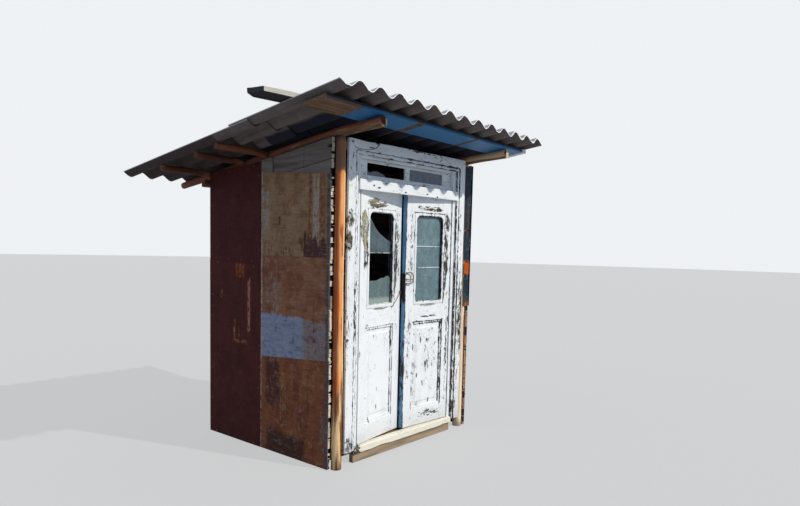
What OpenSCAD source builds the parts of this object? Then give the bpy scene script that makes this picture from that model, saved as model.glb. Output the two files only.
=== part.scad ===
// Wooden outhouse with a reused double door and a corrugated lean-to roof.
// Millimetres, +Z up, the door faces -Y, the sheet-clad wall in view faces -X.
// The origin is on the ground under the middle of the roof.

/* [Cabin] */
// distance between the outer faces of the two side walls' boards
cabin_w = 1644; // [1500:2:1800]
// length of a side wall, from its front board ends to the rear wall's outer face
cabin_d = 1410; // [1300:2:1500]
// thickness of the wall boards
board_t = 24; // [18:1:30]
// diameter of the round corner posts
post_d = 76; // [60:1:100]
// thickness of the flattened sheet metal, taken with its folds
sheet_t = 3; // [2:0.5:4]
// top of the floor boards above the ground
floor_z = 105; // [60:1:115]

/* [Roof] */
// pitch of the corrugation
wave = 177; // [130:1:180]
// waves from the first crest to the right edge
waves = 13.4; // [10:0.1:15]
// part of the first wave that is cut off at the left edge
left_cut = 0.17; // [0:0.01:0.5]
// height of the corrugation from the trough to the crest of one face
wave_h = 48; // [30:1:51]
// thickness of a corrugated sheet
slate_t = 6; // [5:0.5:8]
// fall of the roof towards the rear, in degrees
fall = 8.6; // [5:0.1:15]
// sag of the roof towards the right, in degrees
sag = 0.7; // [0:0.1:2]
// height of the roof's bearing plane over the door's front face
bearing_z = 2356; // [2200:1:2500]
// how far the roof runs out in front of the door's front face
front_eave = 520; // [300:5:600]
// how far back the roof runs from the door's front face
rear_eave = 1985; // [1700:5:2200]
// where the rear sheets' upper ends lie under the front sheets
lap_start = 350; // [200:5:500]
// where the front sheets' lower ends lie on the rear sheets
lap_end = 560; // [450:5:700]
// diameter of the two rafter poles
rafter_d = 70; // [60:1:90]
// diameter of the cross poles
cross_d = 50; // [40:1:70]

/* [Door frame] */
// width of the door frame over its casings
frame_w = 1398; // [1200:2:1500]
// underside of the casings above the ground
casing_z0 = 95; // [60:1:120]
// top of the head casing above the ground
casing_z1 = 2300; // [2100:1:2400]
// width of a casing board's flat face
casing_w = 76; // [60:1:110]
// width of the bead along the casing's inner edge
bead_w = 28; // [20:1:40]
// thickness of the casing boards
casing_t = 22; // [15:1:30]
// clear width between the jambs
clear_w = 1117; // [1000:1:1200]
// top of the threshold
sill_z = 118; // [80:1:140]
// underside of the transom bar's lip
bar_z = 1955; // [1800:1:2050]
// how far the transom sash lies behind the casings' front
sash_y = 55; // [30:1:70]

/* [Door leaves] */
// thickness of a leaf
leaf_t = 40; // [30:1:50]
// how far a leaf's front face lies behind the casing's back
stop_gap = 2; // [1:0.5:12]
// gap between a leaf and its jamb
jamb_gap = 6; // [5:0.5:8]
// gap between the two leaves
meet_gap = 10; // [7:0.5:12]
// underside of the leaves above the ground
leaf_z0 = 125; // [120:1:150]
// top of the leaves above the ground
leaf_z1 = 1968; // [1900:1:2000]
// width of a hinge stile
stile_w = 112; // [80:1:130]
// width of a glazed opening
light_w = 315; // [250:1:350]
// bottom of the glazed openings
light_z0 = 1135; // [1000:5:1200]
// top of the glazed openings
light_z1 = 1810; // [1700:5:1850]
// bottom of the lower panels
panel_z0 = 260; // [200:5:320]
// top of the lower panels
panel_z1 = 968; // [900:2:1000]
// how far the left leaf stands open, in degrees
left_open = 8.1; // [0:0.1:90]
// how far the right leaf stands open, in degrees
right_open = 3.5; // [0:0.1:90]

/* [Hidden] */
$fn = 48;

// the door frame's middle and front face, seen from the origin
mid_x = 221.5;
front_y = -728.82;
half_w = cabin_w / 2;
wall_y0 = 37;
wall_y1 = wall_y0 + cabin_d;
post_x = half_w - board_t - post_d / 2 - 1;
front_post_y = 22;
// the right front post stands back, and the right wall reaches past it
right_post_y = 52;
right_wall_y0 = 10;
rear_post_y = wall_y1 - board_t - post_d / 2 - 1;
leaf_y0 = casing_t + stop_gap;
leaf_y1 = leaf_y0 + leaf_t;
leaf_w = (clear_w - 2 * jamb_gap - meet_gap) / 2;
hinge_x = clear_w / 2 - 3;
hinge_y = leaf_y1 + 9;
knuckle_r = 7;
pin_r = 3.5;
first_crest = -1305;
pane_t = 4;

module building() translate([mid_x, front_y, 0]) children();

// bearing plane of the roof: z = 0 is where the rear sheets' troughs rest
module roof() translate([0, 0, bearing_z]) rotate([-fall, sag, 0]) children();

// everything above a height over the bearing plane, used to cut walls and posts
module above(z) roof() translate([-1500, -1500, z]) cube([3000, 4500, 1200]);

// height under the bearing plane by d, at x and y of the door frame's axes
function under(x, y, d) = bearing_z - y * tan(fall) - x * tan(sag) - d / cos(fall);

module pole(a, b, d) {
    v = b - a;
    len = norm(v);
    translate(a) rotate([0, acos(v[2] / len), atan2(v[1], v[0])]) cylinder(d = d, h = len);
}

// height of the corrugation's lower face, n waves from the first crest
function crown(n) = wave_h / 2 * (1 + cos(360 * n));

// a run of corrugated sheet from wave n0 to wave n1, to the nearest twelfth of a wave,
// between two lines across the roof
module corrugated(n0, n1, y0, y1, lift) {
    points = [for (i = [round(n0 * 12) : round(n1 * 12)]) [first_crest + i * wave / 12, crown(i / 12)]];
    top = [for (i = [len(points) - 1 : -1 : 0]) points[i] + [0, slate_t]];
    translate([0, y1, lift]) rotate([90, 0, 0])
        linear_extrude(height = y1 - y0) polygon(concat(points, top));
}

// side wall slab; behind the front sheets it runs up beside the rafter
module side_slab(s, x, t, y0, y1, z0, lower) {
    far = s * (x + t / 2);
    translate([s * (x + t / 2) - t / 2, 0, 0]) rotate([90, 0, 90]) linear_extrude(height = t)
        polygon([[y0, z0], [y1, z0], [y1, under(far, y1, 24 + lower)],
            [max(y0, 790), under(far, max(y0, 790), 73 + lower)],
            [y0, under(far, y0, 73 + lower)]]);
}

module post_pair(left_y, right_y) {
    difference() {
        for (p = [[-post_x, left_y], [post_x, right_y]])
            translate([p[0], p[1], 0]) cylinder(d = post_d, h = 2420);
        above(-rafter_d - 3);
    }
}

module front_posts() {
    color("peru") building() post_pair(front_post_y, right_post_y);
}

module rear_posts() {
    color("peru") building() post_pair(rear_post_y, rear_post_y);
}

// straight pole that droops in front of the post, with seats for what lies across it
module rafters() {
    axis_z = -1 - rafter_d / 2;
    color("chocolate") building() roof() difference() {
        for (s = [-1, 1]) {
            pole([s * post_x, -20, axis_z], [s * post_x, 1960, axis_z], rafter_d);
            pole([s * post_x, -8, axis_z - 1], [s * post_x, -352, axis_z - 26], rafter_d - 6);
        }
        for (y = [770, 1050, 1500])
            translate([-1000, y, -cross_d / 2 - 0.5]) rotate([0, 90, 0])
                cylinder(d = cross_d + 1, h = 2000);
        translate([-1000, -378, -24.5]) cube([2000, 209, 60]);
    }
}

module front_roof_board() {
    color("steelblue") building() roof()
        translate([-1270, -372, -24]) cube([2325, 197, 30.5]);
}

module cross_poles() {
    axis_z = -cross_d / 2 - 0.5;
    color("saddlebrown") building() roof() {
        pole([-1235, 770, axis_z], [900, 770, axis_z], cross_d);
        pole([-1215, 1050, axis_z], [880, 1050, axis_z], cross_d);
        pole([-1225, 1500, axis_z], [920, 1500, axis_z], cross_d);
    }
}

module rear_plate() {
    color("sienna") building() roof()
        translate([-860, wall_y1 + 40, -rafter_d - 8.5 - 52]) cube([1720, 52, 52]);
}

module front_left_roof_sheet() {
    color("dimgray") building() roof()
        corrugated(left_cut, 6.22, -front_eave, lap_end, 2 * slate_t + 1.5);
}

module front_right_roof_sheet() {
    color("dimgray") building() roof()
        corrugated(5.7, waves, -front_eave, lap_end, slate_t + 1);
}

module rear_left_roof_sheet() {
    color("dimgray") building() roof()
        corrugated(left_cut, 5.7, lap_start, rear_eave, 0);
}

module rear_right_roof_sheet() {
    color("dimgray") building() roof()
        translate([0.4, 0, 0]) corrugated(5.7, waves - 0.05, lap_start, rear_eave, 0);
}

module narrow_roof_sheet() {
    color("dimgray") building() roof()
        corrugated(10.6, waves - 0.05, -front_eave, lap_end - 200, 2 * slate_t + 1.5);
}

// loose plank that weighs the roof down, lying across the wave crests
module roof_plank() {
    color("tan") building() roof()
        translate([-1522, -45, wave_h + 3 * slate_t + 2]) rotate([0, 0, -5])
            linear_extrude(height = 40)
                polygon([[62, 0], [1085, 0], [1100, 70], [1088, 128], [66, 128], [0, 84]]);
}

module left_wall() {
    color("gray") building() side_slab(-1, half_w - board_t, board_t, wall_y0, wall_y1, 0, 0);
}

module right_wall() {
    color("slategray") building() side_slab(1, half_w - board_t, board_t, right_wall_y0, wall_y1, 0, 0);
}

module rear_wall() {
    color("gray") building() difference() {
        translate([-half_w + board_t + 1, wall_y1 - board_t, 0])
            cube([cabin_w - 2 * board_t - 2, board_t, 2200]);
        above(-rafter_d - 4);
    }
}

// rail between the front posts, behind the head casing
module front_rail() {
    color("peru") building()
        translate([-post_x + post_d / 2 + 1, casing_t + 2, 2216])
            cube([2 * post_x - post_d - 2, 45, 60]);
}

// flattened sheet metal on the left wall
module left_sheet(corners) {
    building() translate([-half_w - 0.5 - sheet_t, 0, 0]) rotate([90, 0, 90])
        linear_extrude(height = sheet_t) polygon(corners);
}

module left_top_cladding() {
    color("tan") left_sheet([[45, 1479], [780, 1479], [780, 2092], [45, 2044]]);
}

module left_middle_cladding() {
    color("rosybrown") left_sheet([[48, 768], [782, 716], [782, 1477], [48, 1477]]);
}

module left_bottom_cladding() {
    color("brown") left_sheet([[40, 4], [784, 4], [784, 714], [40, 766]]);
}

module left_rear_top_cladding() {
    color("maroon") building()
        difference() {
        side_slab(-1, half_w + 0.5, sheet_t, 790, wall_y1 - 4, 1300, 0);
        translate([-half_w - 20, 0, 0]) rotate([90, 0, 90]) linear_extrude(height = 40)
            polygon([[700, 1200], [1500, 1200], [1500, 1427.5], [700, 1405.5]]);
    }
}

module left_rear_bottom_cladding() {
    color("maroon") left_sheet([[790, 2], [wall_y1 - 2, 2], [wall_y1 - 2, 1424],
        [790, 1406]]);
}

// blue sheet on the upper right wall, and a strip of it on the face of the post
module right_top_cladding() {
    color("darkslateblue") building() {
        side_slab(1, half_w + 0.5, sheet_t, right_wall_y0 - 4, wall_y1 - 4, 1062, 6);
        translate([half_w - board_t - 56, right_wall_y0 - 1, 1062]) cube([55, sheet_t, 1190]);
    }
}

module right_bottom_cladding() {
    color("brown") building() translate([half_w + 0.5, right_wall_y0 + 8, 6])
        cube([sheet_t, wall_y1 - right_wall_y0 - 14, 1052]);
}

module floor_boards() {
    x0 = post_x - post_d / 2 - 4;
    color("burlywood") building() translate([-x0, leaf_y1 + 25, floor_z - 25])
        cube([2 * x0, wall_y1 - board_t - leaf_y1 - 30, 25]);
}

module floor_bearers() {
    color("peru") building() for (y = [180, 680, 1180])
        translate([-half_w + board_t + 2, y, 0])
            cube([cabin_w - 2 * board_t - 4, 70, floor_z - 25.5]);
}

// sill board on a sleeper that stands back from its front edge
module threshold() {
    color("wheat") building() {
        translate([-clear_w / 2 - 34, -2, 64]) cube([clear_w + 68, leaf_y1 + 4, sill_z - 64]);
        translate([-clear_w / 2 - 34, 12, 0]) cube([clear_w + 68, leaf_y1 - 16, 64.5]);
    }
}

// jambs, deeper over the leaves where they hold the transom sash
module door_jambs() {
    color("whitesmoke") building() for (s = [-1, 1]) {
        translate([s * (clear_w / 2 + 35) - 35, casing_t + 0.5, sill_z + 0.5])
            cube([70, leaf_y1 - casing_t - 0.5, 2176 - sill_z]);
        translate([s * (clear_w / 2 + 35) - 35, leaf_y1 - 1, leaf_z1 + 8])
            cube([70, 32, 2176 - leaf_z1 - 8]);
    }
}

module frame_head() {
    color("whitesmoke") building() translate([-clear_w / 2 - 70, casing_t + 0.5, 2177])
        cube([clear_w + 140, 45, 36]);
}

// bar under the transom, with a lip that stands in front of the leaves' tops
module transom_bar() {
    color("whitesmoke") building() {
        translate([-clear_w / 2 + 0.5, casing_t - 8, leaf_z1 + 7])
            cube([clear_w - 1, 80, 54]);
        translate([-clear_w / 2 - 35, -8, bar_z]) cube([clear_w + 70, 24, 75]);
    }
}

// casing outlines, flat face and bead, cut to a mitre at the frame's upper corners
module side_casing_part(x0, x1) {
    polygon([[-frame_w / 2 + x0, casing_z0], [-frame_w / 2 + x1, casing_z0],
        [-frame_w / 2 + x1, casing_z1 - x1 - 1], [-frame_w / 2 + x0, casing_z1 - x0 - 1]]);
}

module head_casing_part(x0, x1) {
    polygon([[-frame_w / 2 + x0, casing_z1 - x0], [frame_w / 2 - x0, casing_z1 - x0],
        [frame_w / 2 - x1, casing_z1 - x1], [-frame_w / 2 + x1, casing_z1 - x1]]);
}

// stands an outline up in the door frame, from y0 back to y1
module upright(y0, y1) translate([0, y1, 0]) rotate([90, 0, 0])
    linear_extrude(height = y1 - y0) children();

// mitred casing board with a bead along its inner edge, for the left side
module side_casing() {
    upright(0, casing_t) side_casing_part(0, casing_w);
    upright(4, casing_t) side_casing_part(casing_w - 1, casing_w + bead_w);
}

module left_casing() {
    color("white") building() side_casing();
}

module right_casing() {
    color("white") building() mirror([1, 0, 0]) side_casing();
}

module head_casing() {
    color("white") building() {
        upright(0, casing_t) head_casing_part(0, casing_w);
        upright(4, casing_t) head_casing_part(casing_w - 1, casing_w + bead_w);
    }
}

// fixed sash of two low panes over the door
module sash_layer(grow) {
    difference() {
        translate([-clear_w / 2 + 1, 2030.5]) square([clear_w - 2, 145.5]);
        for (x = [-460, 20])
            translate([x - grow, 2062 - grow]) square([440 + 2 * grow, 105 + 2 * grow]);
    }
}

// its panes stand in a rebate cut from behind; most of the left one has fallen out
module transom_sash() {
    color("white") building() {
        upright(sash_y, sash_y + 12) sash_layer(0);
        upright(sash_y + 11, sash_y + 28) sash_layer(7);
    }
}

module transom_glass() {
    color("slategray") building() upright(sash_y + 12.5, sash_y + 12.5 + pane_t) {
        translate([13.5, 2055.5]) square([453, 118]);
        polygon([[-466.5, 2055.5], [-236, 2055.5], [-246, 2074], [-270, 2090], [-312, 2104],
            [-360, 2108], [-400, 2102], [-430, 2096], [-466.5, 2106]]);
    }
}

// hinge leaf on the fixed frame or on a door leaf, with its knuckle on the pin's axis
module hinge_plate(s, z0, h, z1, k) {
    translate([0, 0, z0]) cylinder(r = knuckle_r, h = h);
    translate([s > 0 ? 0 : -48, -9, z1]) cube([48, 2.5, k]);
}

module frame_hinges() {
    color("dimgray") building() for (s = [-1, 1], z = [330, 1000, 1700])
        translate([s * hinge_x, hinge_y, 0]) {
            difference() {
                hinge_plate(s, z, 44, z, 44);
                translate([0, 0, z - 1]) cylinder(r = pin_r + 0.3, h = 46);
            }
        }
}

// moves a leaf, drawn shut with its hinge stile at x = 0, to where it stands
module hang_left() building() translate([-hinge_x, hinge_y, 0]) rotate([0, 0, left_open])
    translate([jamb_gap - 3, leaf_y0 - hinge_y, 0]) children();
module hang_right() building() translate([hinge_x, hinge_y, 0]) rotate([0, 0, -right_open])
    mirror([1, 0, 0]) translate([jamb_gap - 3, leaf_y0 - hinge_y, 0]) children();

// glazed opening with rounded upper corners, grown all round
module light_shape(grow) {
    r = 45 + grow;
    x0 = stile_w - grow;
    x1 = stile_w + light_w + grow;
    top = light_z1 + grow;
    translate([x0, light_z0 - grow]) square([x1 - x0, top - r - light_z0 + grow]);
    translate([x0 + r, light_z0]) square([x1 - x0 - 2 * r, top - light_z0]);
    for (x = [x0 + r, x1 - r])
        translate([x, top - r]) circle(r = r);
}

// lower panel's place in the leaf, shrunk all round
module panel_shape(shrink) {
    translate([stile_w - 22 + shrink, panel_z0 + shrink])
        square([light_w + 44 - 2 * shrink, panel_z1 - panel_z0 - 2 * shrink]);
}

// framed leaf: beaded light over a sunk panel, both with mouldings, panes in a rear rebate
module leaf() {
    upright(0, 21) difference() {
        translate([0, leaf_z0]) square([leaf_w, leaf_z1 - leaf_z0]);
        light_shape(0);
        panel_shape(0);
    }
    upright(20, leaf_t) difference() {
        translate([0, leaf_z0]) square([leaf_w, leaf_z1 - leaf_z0]);
        light_shape(8);
        panel_shape(0);
    }
    upright(-5, 1) difference() {
        light_shape(26);
        light_shape(3);
    }
    upright(12, 26) panel_shape(-0.5);
    upright(5, 13) difference() {
        panel_shape(-0.5);
        panel_shape(18);
    }
}

module pane() upright(21, 21 + pane_t) intersection() {
    light_shape(7.5);
    children();
}

module leaf_hinges() {
    for (z = [374.5, 1044.5, 1744.5])
        translate([-(jamb_gap - 3), hinge_y - leaf_y0, 0]) {
            hinge_plate(1, z, 44, z, 44);
            translate([0, 0, z - 44]) cylinder(r = pin_r, h = 46);
        }
}

module left_leaf() {
    color("white") hang_left() leaf();
}

// upper shard of the left leaf's pane, broken away in a curve
module left_upper_glass() {
    color("slategray") hang_left() pane()
        polygon([[100, 1514], [440, 1511], [440, 1596], [418, 1604], [330, 1636], [237, 1683],
            [180, 1738], [129, 1795], [118, 1830], [100, 1830]]);
}

module left_lower_glass() {
    color("slategray") hang_left() pane()
        polygon([[100, 1100], [440, 1100], [440, 1316], [430, 1322], [399, 1341], [310, 1327],
            [234, 1309], [100, 1306]]);
}

module left_leaf_hinges() {
    color("dimgray") hang_left() leaf_hinges();
}

// wire hook on a screw eye, and the ring near the meeting edge that it drops into
module door_hook() {
    color("darkslategray") hang_left() {
        translate([421, 0, 1103]) rotate([90, 0, 0]) cylinder(d = 7, h = 12);
        pole([421, -9.5, 1103], [534, -12, 1216], 5);
        pole([534, -12, 1216], [536, -10, 1196], 4.4);
        translate([534, -12, 1216]) sphere(d = 6);
        translate([530, 0, 1212]) rotate([90, 0, 0]) cylinder(d = 10, h = 11);
    }
}

module right_leaf() {
    color("white") hang_right() leaf();
}

// three strips of old glass, one over the other
module right_glass() {
    color("slategray") hang_right() {
        pane() translate([0, 1100]) square([600, 296]);
        pane() translate([0, 1397]) square([600, 168.5]);
        pane() translate([0, 1566.5]) square([600, 300]);
    }
}

module right_leaf_hinges() {
    color("dimgray") hang_right() leaf_hinges();
}

// pull bent from one rod: a bow over two bars that end in the leaf
module door_handle() {
    path = [[536, -15, 1361], [508, -17, 1367], [482, -18, 1352], [475, -18, 1318],
        [488, -17, 1284], [536, -15, 1277]];
    color("saddlebrown") hang_right() {
        for (i = [0 : len(path) - 2]) pole(path[i], path[i + 1], 8);
        for (p = path) translate(p) sphere(d = 9);
        pole([477, -18, 1312], [530, -16, 1312], 7);
        for (z = [1277, 1312, 1361])
            translate([533, 0, z]) rotate([90, 0, 0]) cylinder(d = 7.4, h = 14);
    }
}

front_posts();
rear_posts();
rafters();
front_roof_board();
cross_poles();
rear_plate();
front_left_roof_sheet();
front_right_roof_sheet();
rear_left_roof_sheet();
rear_right_roof_sheet();
narrow_roof_sheet();
roof_plank();
left_wall();
right_wall();
rear_wall();
front_rail();
left_top_cladding();
left_middle_cladding();
left_bottom_cladding();
left_rear_top_cladding();
left_rear_bottom_cladding();
right_top_cladding();
right_bottom_cladding();
floor_boards();
floor_bearers();
threshold();
door_jambs();
frame_head();
transom_bar();
left_casing();
right_casing();
head_casing();
transom_sash();
transom_glass();
frame_hinges();
left_leaf();
left_upper_glass();
left_lower_glass();
left_leaf_hinges();
door_hook();
right_leaf();
right_glass();
right_leaf_hinges();
door_handle();
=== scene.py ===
"""Looks of the wooden outhouse: poles, boards, sheets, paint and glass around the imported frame."""

import logging
import math
import random
from dataclasses import dataclass
from enum import Enum
from typing import Callable, Optional, Sequence, Union

import bmesh
import bpy
from mathutils import Matrix, Vector, noise


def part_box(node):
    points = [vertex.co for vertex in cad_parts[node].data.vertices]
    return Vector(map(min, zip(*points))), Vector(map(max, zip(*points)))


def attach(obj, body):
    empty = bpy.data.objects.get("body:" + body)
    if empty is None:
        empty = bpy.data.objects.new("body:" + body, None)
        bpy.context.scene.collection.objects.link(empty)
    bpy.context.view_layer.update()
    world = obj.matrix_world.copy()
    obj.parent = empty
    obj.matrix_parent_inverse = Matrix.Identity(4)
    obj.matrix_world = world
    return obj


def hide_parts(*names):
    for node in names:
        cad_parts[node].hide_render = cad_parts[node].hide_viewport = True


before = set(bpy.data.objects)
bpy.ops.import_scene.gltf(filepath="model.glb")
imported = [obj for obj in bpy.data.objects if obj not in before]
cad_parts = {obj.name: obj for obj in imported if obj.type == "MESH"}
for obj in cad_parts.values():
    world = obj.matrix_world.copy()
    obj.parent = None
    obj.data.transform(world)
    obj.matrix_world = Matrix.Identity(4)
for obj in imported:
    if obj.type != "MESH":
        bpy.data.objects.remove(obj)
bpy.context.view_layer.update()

Point = tuple[float, float, float]
Flat = tuple[float, float]
Rgb = tuple[int, int, int]
Socket = bpy.types.NodeSocket
Value = Union[float, Socket]
# A rim is a span across, a span up and the radius of its upper corners.
Rim = tuple[float, float, float, float, float]

LOG = logging.getLogger("outhouse")

# Lengths are in metres. BEARING is the height of the roof's bearing plane over the door frame's middle.
FALL = math.radians(8.6)
SAG = math.radians(0.7)
BEARING = 2.356
HALF_WIDTH = 0.822
WALL_FRONT = 0.037
WALL_REAR = 1.447
POST_X = 0.759
HINGE_X = 0.5555
HINGE_Y = 0.073
LEAF_FRONT = 0.024
NOISE_SEED = 1
MERGE = 1e-6


class Along(Enum):
    """The axis that a piece's grain or length follows."""

    X = 0
    Y = 1
    Z = 2


class Side(Enum):
    """Left and right as seen by someone who faces the door."""

    LEFT = -1
    RIGHT = 1

    def word(self) -> str:
        """Gives the side's name in small letters."""
        return self.name.lower()


@dataclass(frozen=True)
class Site:
    """A set of axes in which a piece is drawn and its pattern laid out.

    Attributes:
        matrix: takes a point on these axes to the shared frame.
    """

    matrix: Matrix

    def mirrored(self) -> bool:
        """Tells whether these axes are a mirror image."""
        return self.matrix.determinant() < 0

    def mapping(self) -> tuple[Vector, tuple[float, float, float], Vector]:
        """Gives the way back from the shared frame, for a Mapping node.

        Returns:
            The location, the rotation and the scale.
        """
        back = self.matrix.inverted()
        scale = Vector((-1.0 if self.mirrored() else 1.0, 1.0, 1.0))
        turn = (back.to_3x3() @ Matrix.Diagonal(scale)).to_euler("XYZ")
        return back.translation, (turn.x, turn.y, turn.z), scale


def hut_site() -> Site:
    """Finds the door frame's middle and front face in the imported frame."""
    low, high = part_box("threshold")
    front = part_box("head_casing")[0].y
    return Site(Matrix.Translation(((low.x + high.x) / 2, front, 0.0)))


HUT = hut_site()
ROOF = Site(
    HUT.matrix
    @ Matrix.Translation((0.0, 0.0, BEARING))
    @ Matrix.Rotation(SAG, 4, "Y")
    @ Matrix.Rotation(-FALL, 4, "X")
)
ROOF_UP = tuple(ROOF.matrix.to_3x3() @ Vector((0.0, 0.0, 1.0)))


def leaf_site(side: Side) -> Site:
    """Gives a leaf's own axes: x from its hinge edge, y from its front face, z from the ground.

    Args:
        side: which of the two leaves.

    Returns:
        The axes, swung to where the leaf stands ajar.
    """
    opened = math.radians(8.1) if side is Side.LEFT else -math.radians(3.5)
    flip = Matrix.Diagonal((1.0 if side is Side.LEFT else -1.0, 1.0, 1.0, 1.0))
    return Site(
        HUT.matrix
        @ Matrix.Translation((side.value * HINGE_X, HINGE_Y, 0.0))
        @ Matrix.Rotation(opened, 4, "Z")
        @ flip
        @ Matrix.Translation((0.003, LEAF_FRONT - HINGE_Y, 0.0))
    )


def under_roof(x: float, y: float, depth: float) -> float:
    """Gives the height of a plane under the roof's bearing plane.

    Args:
        x: place across the door frame.
        y: place behind the door frame's front.
        depth: distance under the bearing plane.

    Returns:
        The height above the ground.
    """
    return BEARING - y * math.tan(FALL) - x * math.tan(SAG) - depth / math.cos(FALL)


def swing(x: float, y: float, z: float) -> float:
    """Gives a smooth random value around 0 for a place."""
    return noise.noise(Vector((x, y, z)))


def linear(rgb: Rgb) -> tuple[float, float, float, float]:
    """Turns a display colour of 0 to 255 into the shader's linear one."""
    parts = [c / 255.0 for c in rgb]
    flat = [p / 12.92 if p <= 0.04045 else ((p + 0.055) / 1.055) ** 2.4 for p in parts]
    return (flat[0], flat[1], flat[2], 1.0)


# Solids and pieces


class Solid:
    """One closed form, shaped with mesh operators before it joins a piece."""

    def __init__(self) -> None:
        """Starts with an empty mesh."""
        self.bm = bmesh.new()

    @classmethod
    def block(cls, low: Point, high: Point) -> "Solid":
        """Makes a squared block between two corners."""
        solid = cls()
        bmesh.ops.create_cube(solid.bm, size=1.0)
        size = Vector(high) - Vector(low)
        bmesh.ops.scale(solid.bm, vec=size, verts=solid.bm.verts)
        bmesh.ops.translate(solid.bm, vec=(Vector(low) + Vector(high)) / 2, verts=solid.bm.verts)
        return solid

    @classmethod
    def slab(cls, outline: Sequence[Flat], low: float, high: float, axis: Along) -> "Solid":
        """Makes a slab from an outline.

        Args:
            outline: corners in the plane across the axis, in the order of x, y and z.
            low: where the slab starts on the axis.
            high: where it ends.
            axis: the direction of the slab's thickness.

        Returns:
            The closed slab.
        """
        solid = cls()
        corners = [Vector((a, b)) for a, b in outline]
        spots = {
            Along.X: lambda c: (low, c.x, c.y),
            Along.Y: lambda c: (c.x, low, c.y),
            Along.Z: lambda c: (c.x, c.y, low),
        }[axis]
        face = solid.bm.faces.new([solid.bm.verts.new(spots(c)) for c in corners])
        return solid.thicken([face], axis, high - low)

    @classmethod
    def frame(cls, outer: Sequence[Flat], inner: Sequence[Flat], low: float, high: float) -> "Solid":
        """Makes an upright frame between two outlines of equally many corners, from low to high in y."""
        solid = cls()
        loops = []
        for line in (outer, inner):
            verts = [solid.bm.verts.new((x, low, z)) for x, z in line]
            count = len(verts)
            loops += [solid.bm.edges.new((verts[i], verts[(i + 1) % count])) for i in range(count)]
        faces = bmesh.ops.bridge_loops(solid.bm, edges=loops)["faces"]
        return solid.thicken(faces, Along.Y, high - low)

    @classmethod
    def rod(cls, path: Sequence[Point], radii: Sequence[float], sides: int = 16) -> "Solid":
        """Makes a round rod that follows a path.

        Args:
            path: centres along the rod.
            radii: radius at each centre.
            sides: corners of the round.

        Returns:
            The rod, closed at both ends.
        """
        solid = cls()
        points = [Vector(p) for p in path]
        last = len(points) - 1
        turn = (points[1] - points[0]).to_track_quat("Z", "Y")
        before: list[bmesh.types.BMEdge] = []
        for i, (centre, radius) in enumerate(zip(points, radii)):
            ahead = points[min(i + 1, last)] - points[max(i - 1, 0)]
            turn = (turn @ Vector((0.0, 0.0, 1.0))).rotation_difference(ahead) @ turn
            place = Matrix.Translation(centre) @ turn.to_matrix().to_4x4()
            ring = bmesh.ops.create_circle(
                solid.bm, cap_ends=i in (0, last), segments=sides, radius=radius, matrix=place
            )["verts"]
            inside = set(ring)
            edges = [e for e in {e for v in ring for e in v.link_edges} if inside.issuperset(e.verts)]
            if before:
                bmesh.ops.bridge_loops(solid.bm, edges=before + edges)
            before = edges
        for face in solid.bm.faces:
            face.smooth = len(face.verts) == 4
        return solid

    def thicken(self, faces: Sequence[bmesh.types.BMFace], axis: Along, thickness: float) -> "Solid":
        """Grows flat faces into a closed solid along an axis."""
        grown = bmesh.ops.extrude_face_region(self.bm, geom=faces, use_keep_orig=True)["geom"]
        step = [0.0, 0.0, 0.0]
        step[axis.value] = thickness
        moved = [g for g in grown if isinstance(g, bmesh.types.BMVert)]
        bmesh.ops.translate(self.bm, vec=step, verts=moved)
        return self

    def parts(self) -> list[object]:
        """Lists every corner, edge and face."""
        return [*self.bm.verts, *self.bm.edges, *self.bm.faces]

    def slice(self, axis: Along, step: float) -> "Solid":
        """Cuts the solid across an axis at even steps, so that it can bend."""
        spots = [v.co[axis.value] for v in self.bm.verts]
        start, length = min(spots), max(spots) - min(spots)
        normal = [0.0, 0.0, 0.0]
        normal[axis.value] = 1.0
        count = max(1, round(length / step))
        for i in range(1, count):
            point = [n * (start + length * i / count) for n in normal]
            bmesh.ops.bisect_plane(self.bm, geom=self.parts(), dist=MERGE, plane_co=point, plane_no=normal)
        return self

    def trim(self, point: Point, normal: Point) -> "Solid":
        """Cuts away what lies beyond a plane and closes the cut."""
        cut = bmesh.ops.bisect_plane(
            self.bm, geom=self.parts(), dist=MERGE, plane_co=point, plane_no=normal, clear_outer=True
        )["geom_cut"]
        rim = [g for g in cut if isinstance(g, bmesh.types.BMEdge)]
        if rim:
            bmesh.ops.contextual_create(self.bm, geom=rim)
        return self

    def ease(self, width: float, segments: int = 1, angle: float = 35.0) -> "Solid":
        """Takes the sharpness off every edge that turns by more than an angle in degrees."""
        limit = math.radians(angle)
        sharp = [e for e in self.bm.edges if len(e.link_faces) == 2 and e.calc_face_angle(0.0) > limit]
        style = dict(affect="EDGES", profile=0.5, material=-1, clamp_overlap=True)
        bmesh.ops.bevel(self.bm, geom=sharp, offset=width, segments=segments, **style)
        return self

    def ruffle(self, reach: Point, scale: float, seed: int) -> "Solid":
        """Moves every corner a little, in a smooth random way.

        Args:
            reach: largest move along x, y and z.
            scale: how many swings there are per metre.
            seed: which of the random ways.

        Returns:
            The same solid.
        """
        shift = Vector((seed * 7.13, seed * 3.71, seed * 1.93))
        for vert in self.bm.verts:
            stray = noise.noise_vector(vert.co * scale + shift)
            vert.co += Vector([s * r for s, r in zip(stray, reach)])
        return self

    def shape(self, move: Callable[[Vector], Vector]) -> "Solid":
        """Puts every corner where a rule says."""
        for vert in self.bm.verts:
            vert.co = move(vert.co)
        return self

    def place(self, matrix: Matrix) -> "Solid":
        """Moves and turns the solid."""
        bmesh.ops.transform(self.bm, matrix=matrix, verts=self.bm.verts)
        return self

    def smooth(self) -> "Solid":
        """Shades every face smoothly, except across sharp edges."""
        for face in self.bm.faces:
            face.smooth = True
        for edge in self.bm.edges:
            edge.smooth = edge.calc_face_angle(0.0) < math.radians(40.0)
        return self


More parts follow.
